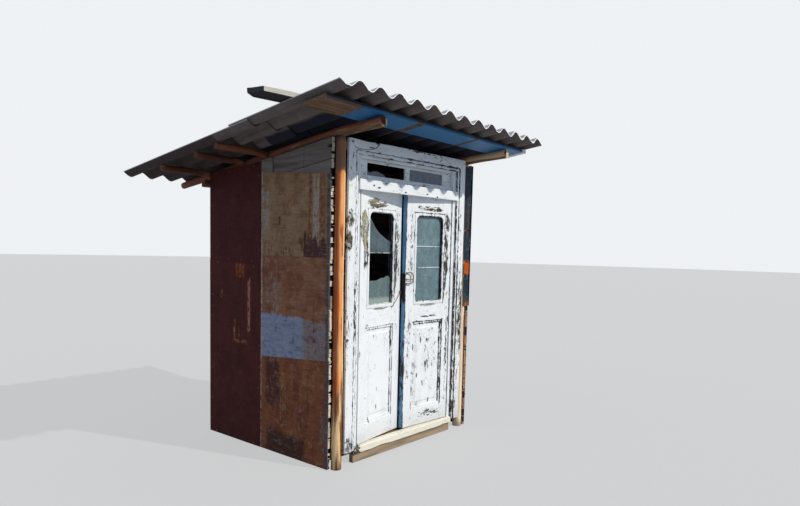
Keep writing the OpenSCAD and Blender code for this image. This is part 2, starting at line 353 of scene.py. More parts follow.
class Piece:
    """A named piece of the visual model, gathered from solids."""

    def __init__(self, name: str) -> None:
        """Starts the piece without any solid.

        Args:
            name: the piece's name in the visual model.
        """
        self.name = name
        self.bm = bmesh.new()
        self.tone = self.bm.verts.layers.float.new("tone")

    def add(self, solid: Solid, tone: float = 0.5, finish: int = 0) -> None:
        """Joins a solid to the piece.

        Args:
            solid: the closed form.
            tone: its shade among its neighbours, from 0 to 1.
            finish: the number of the material that it takes.
        """
        bmesh.ops.recalc_face_normals(solid.bm, faces=solid.bm.faces)
        first_vert, first_face = len(self.bm.verts), len(self.bm.faces)
        held = bpy.data.meshes.new("held")
        solid.bm.to_mesh(held)
        solid.bm.free()
        self.bm.from_mesh(held)
        bpy.data.meshes.remove(held)
        self.bm.verts.ensure_lookup_table()
        self.bm.faces.ensure_lookup_table()
        for vert in self.bm.verts[first_vert:]:
            vert[self.tone] = tone
        for face in self.bm.faces[first_face:]:
            face.material_index = finish

    def dye(self, finish: int, chosen: Callable[[bmesh.types.BMFace], bool]) -> None:
        """Gives another material to the faces that a rule picks."""
        self.bm.normal_update()
        for face in self.bm.faces:
            if chosen(face):
                face.material_index = finish

    def deliver(
        self,
        site: Site,
        body: str,
        finishes: Sequence["Finish"],
        replaces: Sequence[str] = (),
    ) -> bpy.types.Object:
        """Sets the piece in the shared frame and hands it to its body.

        Args:
            site: the axes on which the piece was drawn.
            body: the rigid body that it rides on.
            finishes: its materials, in the order of their numbers.
            replaces: the solids of the frame that it stands for.

        Returns:
            The finished object.
        """
        bmesh.ops.transform(self.bm, matrix=site.matrix, verts=self.bm.verts)
        if site.mirrored():
            bmesh.ops.reverse_faces(self.bm, faces=self.bm.faces)
        mesh = bpy.data.meshes.new(self.name)
        self.bm.to_mesh(mesh)
        self.bm.free()
        for finish in finishes:
            mesh.materials.append(finish.material())
        made = bpy.data.objects.new(self.name, mesh)
        bpy.context.scene.collection.objects.link(made)
        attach(made, body)
        if replaces:
            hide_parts(*replaces)
        LOG.info("%s: %d faces on %s", self.name, len(mesh.polygons), body)
        return made


# Materials


class Recipe:
    """Short words for wiring a material's nodes on a piece's own axes."""

    def __init__(self, name: str, site: Site) -> None:
        """Starts a material and lays its axes.

        Args:
            name: the material's name.
            site: the axes that its pattern follows.
        """
        self.result = bpy.data.materials.new(name)
        self.result.use_nodes = True
        self.tree = self.result.node_tree
        self.tree.nodes.clear()
        self.shader = self.tree.nodes.new("ShaderNodeBsdfPrincipled")
        output = self.tree.nodes.new("ShaderNodeOutputMaterial")
        self.tree.links.new(self.shader.outputs["BSDF"], output.inputs["Surface"])
        source = self.tree.nodes.new("ShaderNodeTexCoord")
        mapping = self.tree.nodes.new("ShaderNodeMapping")
        location, rotation, scale = site.mapping()
        mapping.inputs["Location"].default_value = location
        mapping.inputs["Rotation"].default_value = rotation
        mapping.inputs["Scale"].default_value = scale
        self.tree.links.new(source.outputs["Object"], mapping.inputs["Vector"])
        self.spot = mapping.outputs["Vector"]
        parts = self.tree.nodes.new("ShaderNodeSeparateXYZ")
        self.tree.links.new(self.spot, parts.inputs[0])
        self.x, self.y, self.z = parts.outputs

    def put(self, socket: Socket, value: object) -> None:
        """Links a socket to another, or sets its value."""
        if isinstance(value, bpy.types.NodeSocket):
            self.tree.links.new(value, socket)
        else:
            socket.default_value = value

    def vector(self, operation: str, *values: object) -> Socket:
        """Works out one sum of vectors."""
        node = self.tree.nodes.new("ShaderNodeVectorMath")
        node.operation = operation
        for socket, value in zip(node.inputs, values):
            self.put(socket, value)
        return node.outputs["Value" if operation == "LENGTH" else "Vector"]

    def stretch(self, across: float, along: float, axis: Along, spot: Optional[Socket] = None) -> Socket:
        """Scales the axes for a grain.

        Args:
            across: swings per metre across the grain.
            along: swings per metre along it.
            axis: the grain's direction.
            spot: the place to scale, if it isn't the piece's own.

        Returns:
            The scaled place.
        """
        scale = [across, across, across]
        scale[axis.value] = along
        return self.vector("MULTIPLY", spot or self.spot, scale)

    def noise(self, spot: Socket, scale: float = 1.0, detail: float = 4.0, rough: float = 0.55) -> Socket:
        """Gives smooth random values around a half."""
        node = self.tree.nodes.new("ShaderNodeTexNoise")
        self.put(node.inputs["Vector"], spot)
        self.put(node.inputs["Scale"], scale)
        self.put(node.inputs["Detail"], detail)
        self.put(node.inputs["Roughness"], rough)
        return node.outputs["Fac"]

    def streaks(
        self,
        across: float,
        along: float,
        axis: Along,
        detail: float = 4.0,
        rough: float = 0.55,
        spot: Optional[Socket] = None,
    ) -> Socket:
        """Gives smooth random values drawn out along an axis.

        Args:
            across: swings per metre across the axis.
            along: swings per metre along it.
            axis: the direction of the streaks.
            detail: how many finer layers are in them.
            rough: how strong the finer layers are.
            spot: the place to read them at, if it isn't the piece's own.

        Returns:
            Values around a half.
        """
        return self.noise(self.stretch(across, along, axis, spot), 1.0, detail, rough)

    def warped(self, spot: Socket, scale: float, reach: float) -> Socket:
        """Shifts a place about at random by up to a reach, for ragged outlines."""
        node = self.tree.nodes.new("ShaderNodeTexNoise")
        self.put(node.inputs["Vector"], spot)
        self.put(node.inputs["Scale"], scale)
        self.put(node.inputs["Detail"], 3.0)
        span, start = [2 * reach] * 3, [-reach] * 3
        shift = self.vector("MULTIPLY_ADD", node.outputs["Color"], span, start)
        return self.vector("ADD", spot, shift)

    def cells(self, spot: Socket, scale: float, feature: str = "DISTANCE_TO_EDGE") -> Socket:
        """Gives the distance in a random net of cells."""
        node = self.tree.nodes.new("ShaderNodeTexVoronoi")
        node.feature = feature
        self.put(node.inputs["Vector"], spot)
        self.put(node.inputs["Scale"], scale)
        return node.outputs["Distance"]

    def calc(self, operation: str, a: Value, b: Value = 0.0, clamp: bool = False) -> Socket:
        """Works out one sum."""
        node = self.tree.nodes.new("ShaderNodeMath")
        node.operation = operation
        node.use_clamp = clamp
        self.put(node.inputs[0], a)
        self.put(node.inputs[1], b)
        return node.outputs[0]

    def plus(self, a: Value, *others: Value) -> Value:
        """Adds values up."""
        for other in others:
            a = self.calc("ADD", a, other)
        return a

    def times(self, a: Value, *others: Value) -> Value:
        """Multiplies values."""
        for other in others:
            a = self.calc("MULTIPLY", a, other)
        return a

    def minus(self, a: Value, b: Value) -> Socket:
        """Takes the second value from the first."""
        return self.calc("SUBTRACT", a, b)

    def larger(self, a: Value, b: Value) -> Socket:
        """Gives the larger of two values."""
        return self.calc("MAXIMUM", a, b)

    def smaller(self, a: Value, b: Value) -> Socket:
        """Gives the smaller of two values."""
        return self.calc("MINIMUM", a, b)

    def apart(self, a: Value, b: Value) -> Socket:
        """Gives the distance between two values."""
        return self.calc("ABSOLUTE", self.minus(a, b))

    def rise(self, value: Value, low: float, high: float) -> Socket:
        """Rises smoothly from 0 at low to 1 at high, or falls if low is the larger."""
        node = self.tree.nodes.new("ShaderNodeMapRange")
        node.interpolation_type = "SMOOTHSTEP"
        self.put(node.inputs["Value"], value)
        self.put(node.inputs["From Min"], min(low, high))
        self.put(node.inputs["From Max"], max(low, high))
        self.put(node.inputs["To Min"], 0.0 if low < high else 1.0)
        self.put(node.inputs["To Max"], 1.0 if low < high else 0.0)
        return node.outputs["Result"]

    def blend(self, share: Value, a: object, b: object) -> Socket:
        """Mixes two colours, each a display colour or a socket."""
        node = self.tree.nodes.new("ShaderNodeMix")
        node.data_type = "RGBA"
        self.put(node.inputs[0], share)
        for socket, colour in ((node.inputs[6], a), (node.inputs[7], b)):
            self.put(socket, colour if isinstance(colour, bpy.types.NodeSocket) else linear(colour))
        return node.outputs[2]

    def over(self, under: object, colour: object, share: Value, strength: float = 1.0) -> Socket:
        """Lays a colour over another, as far as its share and strength go."""
        return self.blend(share if strength == 1.0 else self.times(share, strength), under, colour)

    def near(self, spot: Socket, centre: Point, reach: Point) -> Socket:
        """Is 1 at a centre and falls to 0 at a reach along each axis."""
        scaled = self.vector("DIVIDE", self.vector("SUBTRACT", spot, centre), reach)
        return self.rise(self.vector("LENGTH", scaled), 1.0, 0.0)

    def stray(self, value: Socket, swing: Socket, reach: float) -> Socket:
        """Shifts a place by a random value, by up to about a reach."""
        return self.plus(value, self.times(self.minus(swing, 0.5), 5.0 * reach))

    def off(self, value: Socket, low: float, high: float) -> Socket:
        """Gives how far a place lies outside a span, or less than 0 inside it."""
        away = self.apart(value, (low + high) / 2)
        return self.minus(away, (high - low) / 2)

    def rim(self, x0: float, x1: float, z0: float, z1: float, curve: float) -> Socket:
        """Gives how far a place is from an upright outline whose upper corners are round.

        Args:
            x0: where it starts across.
            x1: where it ends across.
            z0: its foot.
            z1: its top.
            curve: radius of its upper corners.

        Returns:
            The distance.
        """
        middle = (z0 + z1) / 2
        turn = self.times(self.rise(self.z, middle - 0.01, middle + 0.01), curve)
        across = self.plus(self.off(self.x, x0, x1), turn)
        up = self.plus(self.off(self.z, z0, z1), turn)
        squares = [self.calc("POWER", self.larger(part, 0.0), 2.0) for part in (across, up)]
        corner = self.calc("SQRT", self.calc("ADD", *squares))
        inside = self.smaller(self.larger(across, up), 0.0)
        return self.apart(self.plus(corner, inside), turn)

    def tone(self) -> Socket:
        """Reads the shade that each solid was given."""
        node = self.tree.nodes.new("ShaderNodeAttribute")
        node.attribute_name = "tone"
        return node.outputs["Fac"]

    def lifted(self, colour: Socket, strength: float, light: float) -> Socket:
        """Makes a colour stronger and lighter."""
        node = self.tree.nodes.new("ShaderNodeHueSaturation")
        node.inputs["Saturation"].default_value = strength
        node.inputs["Value"].default_value = light
        self.put(node.inputs["Color"], colour)
        return node.outputs["Color"]

    def done(
        self,
        colour: object,
        rough: Value,
        height: Optional[Socket] = None,
        depth: float = 0.001,
        metal: Value = 0.0,
        gloss: float = 0.2,
    ) -> bpy.types.Material:
        """Wires the shader.

        Args:
            colour: the surface's colour.
            rough: its roughness.
            height: its relief, from 0 to 1.
            depth: the relief's depth.
            metal: its share of bare metal.
            gloss: strength of its clear reflections.

        Returns:
            The material.
        """
        self.put(self.shader.inputs["Base Color"], colour)
        self.put(self.shader.inputs["Roughness"], rough)
        self.put(self.shader.inputs["Metallic"], metal)
        self.shader.inputs["Specular IOR Level"].default_value = gloss
        if height is not None:
            bump = self.tree.nodes.new("ShaderNodeBump")
            self.put(bump.inputs["Height"], height)
            self.put(bump.inputs["Distance"], depth)
            self.put(self.shader.inputs["Normal"], bump.outputs["Normal"])
        return self.result


@dataclass(frozen=True)
class Finish:
    """A named finish; each kind wires its own material.

    Attributes:
        name: the material's name.
    """

    name: str

    def material(self) -> bpy.types.Material:
        """Gives the material, wired once."""
        return bpy.data.materials.get(self.name) or self.wire()

    def wire(self) -> bpy.types.Material:
        """Wires the material."""
        raise NotImplementedError


@dataclass(frozen=True)
class PeeledPole(Finish):
    """A peeled pole with dark remains of bark.

    Attributes:
        site: the axes of the pole.
        along: its direction.
        bark: share of the surface that is still dark.
        bare: colour of the peeled wood.
        dark: colour of the bark's remains.
        pale: colour of its pale streaks.
        foot: height up to which the wood is pale and frayed.
        lean: how fast that height rises across the pole, and the pole's middle.
        shaded_top: height over which the wood is painted grey, as shade under the roof.
        sides: colours towards one side, each with where it begins and is full; on the left post they are a
            painted shade on its left and a painted highlight on its right.
        frayed: colours of the wood up to the foot's height.
        belly: height under which the underside is bare.
        droop: how fast that height falls in front of the posts.
    """

    site: Site
    along: Along
    bark: float = 0.35
    bare: Rgb = (196, 122, 66)
    dark: Rgb = (104, 54, 34)
    pale: Rgb = (196, 160, 112)
    foot: float = 0.0
    lean: Flat = (0.0, 0.0)
    shaded_top: float = 0.0
    sides: tuple[tuple[Rgb, float, float], ...] = ()
    frayed: tuple[Rgb, Rgb] = ((138, 98, 62), (216, 188, 146))
    belly: float = 0.0
    droop: float = 0.0

    def wire(self) -> bpy.types.Material:
        """Wires streaks, bark, cracks, side colours, a frayed foot and a top painted grey as shade."""
        r = Recipe(self.name, self.site)
        grain = r.streaks(48.0, 3.0, self.along, 6.0, 0.62)
        tone = r.streaks(9.0, 2.2, self.along, 3.0)
        wood = r.blend(r.rise(grain, 0.36, 0.66), self.bare, self.pale)
        wood = r.over(wood, self.bare, r.rise(tone, 0.46, 0.66))
        rest = r.streaks(17.0, 2.6, self.along, 5.0, 0.6)
        bark = r.rise(rest, 0.66 - self.bark * 0.4, 0.72 - self.bark * 0.4)
        wood = r.over(wood, self.dark, bark, 0.85)
        # Colours towards one side; on the left post a painted shade on the left and a painted highlight on
        # the right.
        for colour, start, full in self.sides:
            side = r.rise(r.stray(r.x, rest, 0.006), start, full)
            wood = r.over(wood, colour, side, 0.85)
        if self.belly < 0.0:
            sunk = r.times(r.larger(r.minus(0.02, r.y), 0.0), self.droop)
            low = r.rise(r.stray(r.plus(r.z, sunk), tone, 0.006), self.belly, self.belly - 0.005)
            wood = r.over(wood, r.blend(r.rise(grain, 0.4, 0.62), (100, 74, 52), (138, 110, 80)), low)
        if self.foot > 0.0:
            tilt = r.times(r.minus(r.x, self.lean[1]), -self.lean[0])
            low = r.rise(r.stray(r.plus(r.z, tilt), rest, 0.12), self.foot, self.foot - 0.12)
            wood = r.over(wood, r.blend(r.rise(grain, 0.42, 0.58), *self.frayed), low)
        # Painted shade: the top, in the roof's shadow, is painted grey.
        if self.shaded_top > 0.0:
            high = r.rise(r.z, self.shaded_top - 0.03, self.shaded_top + 0.03)
            wood = r.over(wood, (104, 90, 80), high, 0.75)
        cracks = r.rise(r.streaks(95.0, 1.6, self.along, 3.0), 0.67, 0.71)
        wood = r.over(wood, (46, 30, 22), cracks)
        height = r.plus(r.times(grain, 0.5), r.times(bark, 0.3))
        height = r.minus(height, r.times(cracks, 0.8))
        return r.done(wood, 0.72, height, 0.0022)


@dataclass(frozen=True)
class CutEnd(Finish):
    """Sawn end of a pole, with growth rings.

    Attributes:
        site: the pole's axes.
        centre: middle of the pole on the two axes across it.
        along: the pole's direction.
        lit: how far right of its middle the end is pale; left of that it is painted dark as shade.
    """

    site: Site
    centre: Point
    along: Along
    lit: float = -1.0

    def wire(self) -> bpy.types.Material:
        """Wires rings around the middle, grime spots and a painted shade over the left part."""
        r = Recipe(self.name, self.site)
        away = r.vector("SUBTRACT", r.warped(r.spot, 12.0, 0.003), self.centre)
        radius = r.vector("LENGTH", r.stretch(1.0, 0.0, self.along, away))
        rings = r.calc("SINE", r.times(radius, 1500.0))
        wood = r.blend(r.rise(rings, -0.4, 1.0), (244, 228, 200), (206, 170, 128))
        dirt_and_shade = r.rise(r.noise(r.spot, 60.0), 0.5, 0.7)
        wood = r.over(wood, (120, 92, 66), dirt_and_shade, 0.6)
        # Painted shade: left of the lit edge the end is painted dark, less so towards its foot.
        edge = self.centre[0] + self.lit
        foot = r.rise(r.z, self.centre[2] - 0.012, self.centre[2] - 0.03)
        stain = r.blend(foot, (84, 44, 36), (134, 100, 70))
        wood = r.over(wood, stain, r.rise(r.stray(r.x, dirt_and_shade, 0.001), edge + 0.004, edge - 0.003))
        return r.done(wood, 0.85, rings, 0.0006)


@dataclass(frozen=True)
class GreyBoard(Finish):
    """Rough-sawn boards gone grey in the weather.

    Attributes:
        site: the axes of the boards.
        along: the grain's direction.
        light: the palest grey.
        middle: the usual colour.
        dark: colour of wet stains and of cracks.
    """

    site: Site
    along: Along
    light: Rgb = (150, 142, 130)
    middle: Rgb = (108, 98, 88)
    dark: Rgb = (58, 48, 42)

    def wire(self) -> bpy.types.Material:
        """Wires grain, saw marks, knots and stains, with a tone for each board."""
        r = Recipe(self.name, self.site)
        tone = r.tone()
        spread = r.tree.nodes.new("ShaderNodeCombineXYZ")
        for i in range(3):
            r.put(spread.inputs[i], r.times(tone, 31.7 + 5.0 * i))
        spot = r.vector("ADD", r.spot, spread.outputs[0])
        grain = r.streaks(70.0, 2.2, self.along, 7.0, 0.65, spot=spot)
        broad = r.streaks(14.0, 1.4, self.along, 3.0, spot=spot)
        wood = r.blend(r.rise(grain, 0.35, 0.68), self.middle, self.light)
        wood = r.over(wood, self.dark, r.rise(broad, 0.5, 0.72))
        wood = r.over(wood, self.middle, tone, 0.55)
        knots = r.rise(r.cells(r.stretch(7.0, 2.4, self.along, spot), 1.0, "F1"), 0.12, 0.05)
        wood = r.over(wood, (52, 36, 28), knots)
        cracks = r.rise(r.streaks(120.0, 1.1, self.along, 3.0, spot=spot), 0.68, 0.715)
        wood = r.over(wood, (34, 28, 25), cracks)
        saw = r.streaks(2.0, 260.0, self.along, 2.0, spot=spot)
        height = r.plus(grain, r.times(saw, 0.25))
        height = r.minus(height, cracks)
        return r.done(wood, 0.86, height, 0.0018)


@dataclass(frozen=True)
class Patch:
    """A worn or stained place.

    Attributes:
        spot: its middle on the piece's own axes, across and up.
        reach: its half width and half height.
        amount: how much it adds, or takes away if it is negative.
    """

    spot: Flat
    reach: Flat
    amount: float = 1.0


@dataclass(frozen=True)
class FlakedPaint(Finish):
    """Old oil paint that cracks and falls off the wood.

    Attributes:
        site: the piece's own axes.
        along: the grain's direction.
        coat: the paint's colour.
        stain: colour of its grime.
        wear: share of the paint that is gone where nothing else is said.
        patches: places where more or less has gone.
        bare: colour of weathered wood under the paint.
        second: another colour of bared wood, fresher or dirtier.
        second_patches: places where that shows.
        muddy: height up to which rain has splashed mud.
        rims: outlines that the paint comes off along, where grime and painted shade lie.
        rim_wear: how much more goes along them.
        mud: colour of the splashes.
        dirt_and_shade: colour of the grime and painted shade along the outlines.
        bow: middle and half size of a half-round dark line that hangs down, a painted shadow under a lifted
            paint edge, if there is one.
        most: limit of what a patch adds; a low one leaves islands of paint in it.
    """

    site: Site
    along: Along
    coat: Rgb = (248, 247, 243)
    stain: Rgb = (206, 204, 196)
    wear: float = 0.0
    patches: tuple[Patch, ...] = ()
    bare: Rgb = (84, 78, 72)
    second: Rgb = (206, 192, 146)
    second_patches: tuple[Patch, ...] = ()
    muddy: float = 0.0
    rims: tuple[Rim, ...] = ()
    rim_wear: float = 0.9
    mud: Rgb = (150, 146, 140)
    dirt_and_shade: Rgb = (72, 72, 78)
    bow: tuple[float, ...] = ()
    most: float = 0.2

    def spots(self, r: Recipe, places: tuple[Patch, ...], spot: Socket) -> Value:
        """Adds up the patches."""
        total: Value = 0.0
        for patch in places:
            centre = (patch.spot[0], 0.0, patch.spot[1])
            reach = (patch.reach[0], 9.0, patch.reach[1])
            mask = r.times(r.near(spot, centre, reach), patch.amount)
            total = r.plus(total, mask)
        return total

    def worn(self, r: Recipe, ragged: Socket, rims: Sequence[Socket]) -> Socket:
        """Adds up what makes the paint go at a place."""
        local = r.streaks(5.5, 3.0, self.along, 2.0)
        extra = self.spots(r, self.patches, ragged)
        for away in rims:
            extra = r.plus(extra, r.times(r.rise(away, 0.014, 0.0), self.rim_wear))
        bias = r.plus(r.times(extra, 0.16), r.times(local, 0.3))
        return r.smaller(r.plus(bias, self.wear * 0.14 - 0.15), self.most)

    def wire(self) -> bpy.types.Material:
        """Wires paint, crackle, flaked places and the wood under them."""
        r = Recipe(self.name, self.site)
        ragged = r.warped(r.spot, 14.0, 0.01)
        rims = [r.rim(*rim) for rim in self.rims]
        bias = self.worn(r, ragged, rims)
        fine = r.plus(r.streaks(85.0, 24.0, self.along, 4.0, 0.6), bias)
        broad = r.streaks(30.0, 9.0, self.along, 6.0, 0.7)
        broad = r.plus(broad, r.times(bias, 0.9))
        gone = r.larger(r.rise(fine, 0.70, 0.715), r.rise(broad, 0.69, 0.702))
        lifted = r.larger(r.rise(fine, 0.665, 0.695), r.rise(broad, 0.66, 0.688))
        grain = r.streaks(90.0, 3.0, self.along, 6.0, 0.65)
        wood = r.blend(r.rise(grain, 0.36, 0.64), (42, 38, 36), self.bare)
        if self.second_patches:
            here = r.calc("MULTIPLY", self.spots(r, self.second_patches, ragged), 1.0, True)
            deep = tuple(round(c * 0.6) for c in self.second)
            wood = r.over(wood, r.blend(r.rise(grain, 0.4, 0.62), deep, self.second), here)
        brink = r.rise(r.larger(broad, r.minus(fine, 0.01)), 0.75, 0.71)
        wood = r.over(wood, (36, 34, 34), brink)
        crackle = r.rise(r.cells(r.stretch(150.0, 38.0, self.along, ragged), 1.0), 0.05, 0.01)
        cloud = r.streaks(5.0, 2.0, self.along, 4.0)
        coat = r.blend(r.times(r.rise(cloud, 0.5, 0.85), 0.55), self.coat, self.stain)
        hair = r.times(crackle, r.rise(broad, 0.5, 0.62))
        coat = r.over(coat, (120, 116, 110), hair, 0.5)
        if self.muddy > 0.0:
            splash = r.rise(r.stray(r.z, broad, 0.06), self.muddy, 0.0)
            coat = r.over(coat, self.mud, splash, 0.6)
        breaks = r.times(r.rise(broad, 0.36, 0.56), r.rise(r.noise(r.spot, 13.0, 2.0), 0.42, 0.54))
        # Grime and painted shade along the outlines of beads, mouldings and edges.
        for away in rims:
            dirt_and_shade = r.times(r.rise(away, 0.004, 0.001), breaks)
            coat = r.over(coat, self.dirt_and_shade, dirt_and_shade, 0.85)
        # Painted shadow: a half-round dark line under a lifted paint edge.
        if self.bow:
            x, z, wide, tall = self.bow
            spot = r.near(ragged, (x, 0.0, z), (2 * wide, 9.0, 2 * tall))
            lower = r.rise(r.z, z + 0.01, z - 0.01)
            bow_shadow = r.times(r.rise(r.off(spot, 0.49, 0.51), 0.03, 0.0), lower, r.rise(broad, 0.3, 0.5))
            coat = r.over(coat, (40, 44, 50), bow_shadow)
        coat = r.over(coat, (150, 148, 146), lifted, 0.3)
        colour = r.blend(gone, coat, wood)
        height = r.plus(r.minus(r.minus(1.0, gone), r.times(hair, 0.25)), r.times(grain, 0.35))
        rough = r.plus(r.times(gone, 0.4), 0.45)
        return r.done(colour, rough, height, 0.0012, 0.0, 0.3)


@dataclass(frozen=True)
class Stain:
    """A place of another colour on sheet metal, with ragged sides and a dripping top and foot.

    Attributes:
        colour: its colour.
        span: from and to, back from the door, and from and to, up.
        solid: how far its colour covers, from 0 to 1.
        ragged: how far its sides stray.
        drip: how far its top and foot stray.
        holes: share of it that shows what lies under it.
    """

    colour: Rgb
    span: tuple[float, float, float, float]
    solid: float = 1.0
    ragged: float = 0.006
    drip: float = 0.03
    holes: float = 0.2


@dataclass(frozen=True)
class OldSheet(Finish):
    """Flattened sheet steel with old paint and rust runs.

    Attributes:
        site: the wall's axes.
        coat: the main colour.
        cloud: a second colour that clouds it.
        rust: colour of the runs and specks.
        runs: share of the sheet that rust runs cover.
        lines: strength of the fine level lines.
        stains: places of other colours, in the order in which they lie over each other.
        gloss: strength of its clear reflections.
    """

    site: Site
    coat: Rgb = (120, 104, 84)
    cloud: Rgb = (96, 78, 60)
    rust: Rgb = (92, 50, 34)
    runs: float = 0.4
    lines: float = 0.5
    stains: tuple[Stain, ...] = ()
    gloss: float = 0.12

    def wire(self) -> bpy.types.Material:
        """Wires clouds, runs, stains, specks and level lines."""
        r = Recipe(self.name, self.site)
        cloud = r.streaks(6.0, 4.0, Along.Z, 5.0, 0.6)
        drips = r.streaks(42.0, 2.2, Along.Z, 5.0, 0.6)
        torn = r.streaks(60.0, 30.0, Along.Z, 4.0, 0.6)
        fine = r.noise(r.spot, 120.0, 4.0, 0.6)
        level = r.streaks(6.0, 130.0, Along.Z, 3.0, 0.55)
        colour = r.blend(r.rise(cloud, 0.4, 0.66), self.coat, self.cloud)
        start = 0.8 - self.runs * 0.35
        share = r.rise(r.plus(drips, r.times(cloud, 0.3)), start, start + 0.08)
        colour = r.over(colour, self.rust, share, 0.8)
        for stain in self.stains:
            y0, y1, z0, z1 = stain.span
            aside = r.off(r.stray(r.y, torn, stain.ragged), y0, y1)
            above = r.off(r.stray(r.z, drips, stain.drip), z0, z1)
            soft = 0.003 + stain.ragged * 0.4
            mask = r.times(r.rise(aside, soft, -soft), r.rise(above, 0.004 + soft, -0.004 - soft))
            bare = 0.9 - stain.holes * 0.4
            hole = r.rise(r.plus(torn, r.times(drips, 0.4)), bare, bare - 0.06)
            colour = r.over(colour, stain.colour, r.times(mask, hole), stain.solid)
        specks = r.rise(r.plus(fine, r.times(cloud, 0.25)), 0.76, 0.84)
        colour = r.over(colour, (64, 36, 28), specks, 0.6)
        lines = r.times(r.rise(level, 0.5, 0.62), self.lines)
        colour = r.over(colour, (66, 48, 42), lines, 0.6)
        pale = r.times(r.rise(level, 0.46, 0.36), self.lines)
        colour = r.over(colour, (176, 152, 132), pale, 0.3)
        worn = r.streaks(11.0, 15.0, Along.Z, 8.0, 0.76)
        colour = r.over(colour, (74, 38, 28), r.rise(worn, 0.5, 0.62), 1.1 * self.lines)
        colour = r.over(colour, (196, 166, 144), r.rise(worn, 0.46, 0.36), 0.55 * self.lines)
        colour = r.lifted(colour, 1.06, 1.2)
        height = r.plus(r.times(fine, 0.4), r.times(share, 0.5), r.times(level, self.lines))
        return r.done(colour, r.rise(fine, -0.4, 1.2), height, 0.0008, 0.0, self.gloss)


@dataclass(frozen=True)
class FibreCement(Finish):
    """Weathered fibre-cement, grey with lichen and darker in streaks.

    Attributes:
        site: the roof's axes.
        light: its paler grey.
        middle: its usual grey.
        dark: colour of the streaks.
        lichen: how thick the lichen is, from 0 to 1.
        painted_shades: places of painted shade where the underside lies deep in shadow, each a colour, a span
            across and a span down the roof.
    """

    site: Site
    light: Rgb = (142, 134, 122)
    middle: Rgb = (112, 104, 94)
    dark: Rgb = (86, 78, 70)
    lichen: float = 0.55
    painted_shades: tuple[tuple[Rgb, float, float, float, float], ...] = ()

    def wire(self) -> bpy.types.Material:
        """Wires the grey body, streaks down the fall, lichen and places of painted shade."""
        r = Recipe(self.name, self.site)
        body = r.noise(r.spot, 6.0, 6.0, 0.6)
        streak = r.streaks(30.0, 1.8, Along.Y, 5.0, 0.6)
        grit = r.noise(r.spot, 240.0, 3.0, 0.6)
        colour = r.blend(r.rise(body, 0.36, 0.66), self.middle, self.light)
        colour = r.over(colour, self.dark, r.rise(streak, 0.5, 0.7), 0.6)
        colour = r.over(colour, (168, 162, 150), r.rise(grit, 0.5, 0.75), 0.35 * self.lichen)
        spots = r.rise(r.noise(r.spot, 34.0, 5.0, 0.7), 0.63, 0.68)
        colour = r.over(colour, (172, 170, 146), spots, self.lichen)
        # Painted shade: darker places where the underside lies deep in shadow.
        for shade, x0, x1, y0, y1 in self.painted_shades:
            aside = r.off(r.stray(r.x, body, 0.01), x0, x1)
            out = r.larger(aside, r.off(r.stray(r.y, body, 0.01), y0, y1))
            colour = r.over(colour, shade, r.rise(out, 0.012, -0.012), 0.9)
        height = r.plus(r.times(grit, 0.5), r.times(streak, 0.5))
        return r.done(colour, 0.9, height, 0.0012)


@dataclass(frozen=True)
class BrokenEdge(Finish):
    """Pale, chipped edge of a fibre-cement sheet.

    Attributes:
        site: the roof's axes.
    """

    site: Site

    def wire(self) -> bpy.types.Material:
        """Wires a pale mottled edge."""
        r = Recipe(self.name, self.site)
        chips = r.noise(r.spot, 55.0, 5.0, 0.65)
        colour = r.blend(r.rise(chips, 0.32, 0.44), (206, 202, 192), (250, 249, 246))
        return r.done(colour, 0.92, chips, 0.0015)


@dataclass(frozen=True)
class DustyGlass(Finish):
    """Old window glass, thick with dust.

    Attributes:
        site: the pane's axes.
        dust_and_sky_tint: colour of the dust, with a painted blue-green sky reflection in it.
        clear: share of light that still passes.
        low: height of the pane's foot, where grime gathers.
        laps: heights of the pale lines where two strips of glass lap.
    """

    site: Site
    dust_and_sky_tint: Rgb = (116, 146, 154)
    clear: float = 0.35
    low: float = 1.135
    laps: tuple[float, ...] = ()

    def wire(self) -> bpy.types.Material:
        """Wires dust, dried runs, lap lines and grime along the foot."""
        r = Recipe(self.name, self.site)
        dust = r.noise(r.spot, 16.0, 6.0, 0.65)
        runs = r.streaks(70.0, 5.0, Along.Z, 4.0)
        fine = r.noise(r.spot, 300.0, 3.0)
        pale = tuple(min(255, round(c * 1.12 + 10)) for c in self.dust_and_sky_tint)
        deep = tuple(round(c * 0.8) for c in self.dust_and_sky_tint)
        # The base colour carries the dust and a painted blue-green sky reflection.
        colour = r.blend(r.rise(dust, 0.35, 0.7), self.dust_and_sky_tint, pale)
        colour = r.over(colour, deep, r.rise(runs, 0.55, 0.75), 0.35)
        for lap in self.laps:
            away = r.apart(r.z, lap)
            under = r.apart(r.z, lap - 0.008)
            colour = r.over(colour, (54, 62, 66), r.rise(under, 0.004, 0.001), 0.7)
            streak = r.times(r.rise(away, 0.006, 0.003), r.rise(dust, 0.34, 0.5))
            colour = r.over(colour, (236, 246, 246), streak, 0.9)
        foot = r.rise(r.stray(r.z, dust, 0.012), self.low + 0.055, self.low + 0.03)
        colour = r.over(colour, (186, 202, 186), foot, 0.7)
        rough = r.plus(r.times(r.rise(fine, 0.3, 0.8), 0.25), 0.12)
        r.shader.inputs["Transmission Weight"].default_value = self.clear
        r.shader.inputs["IOR"].default_value = 1.45
        return r.done(colour, rough, dust, 0.0004, 0.0, 0.4)


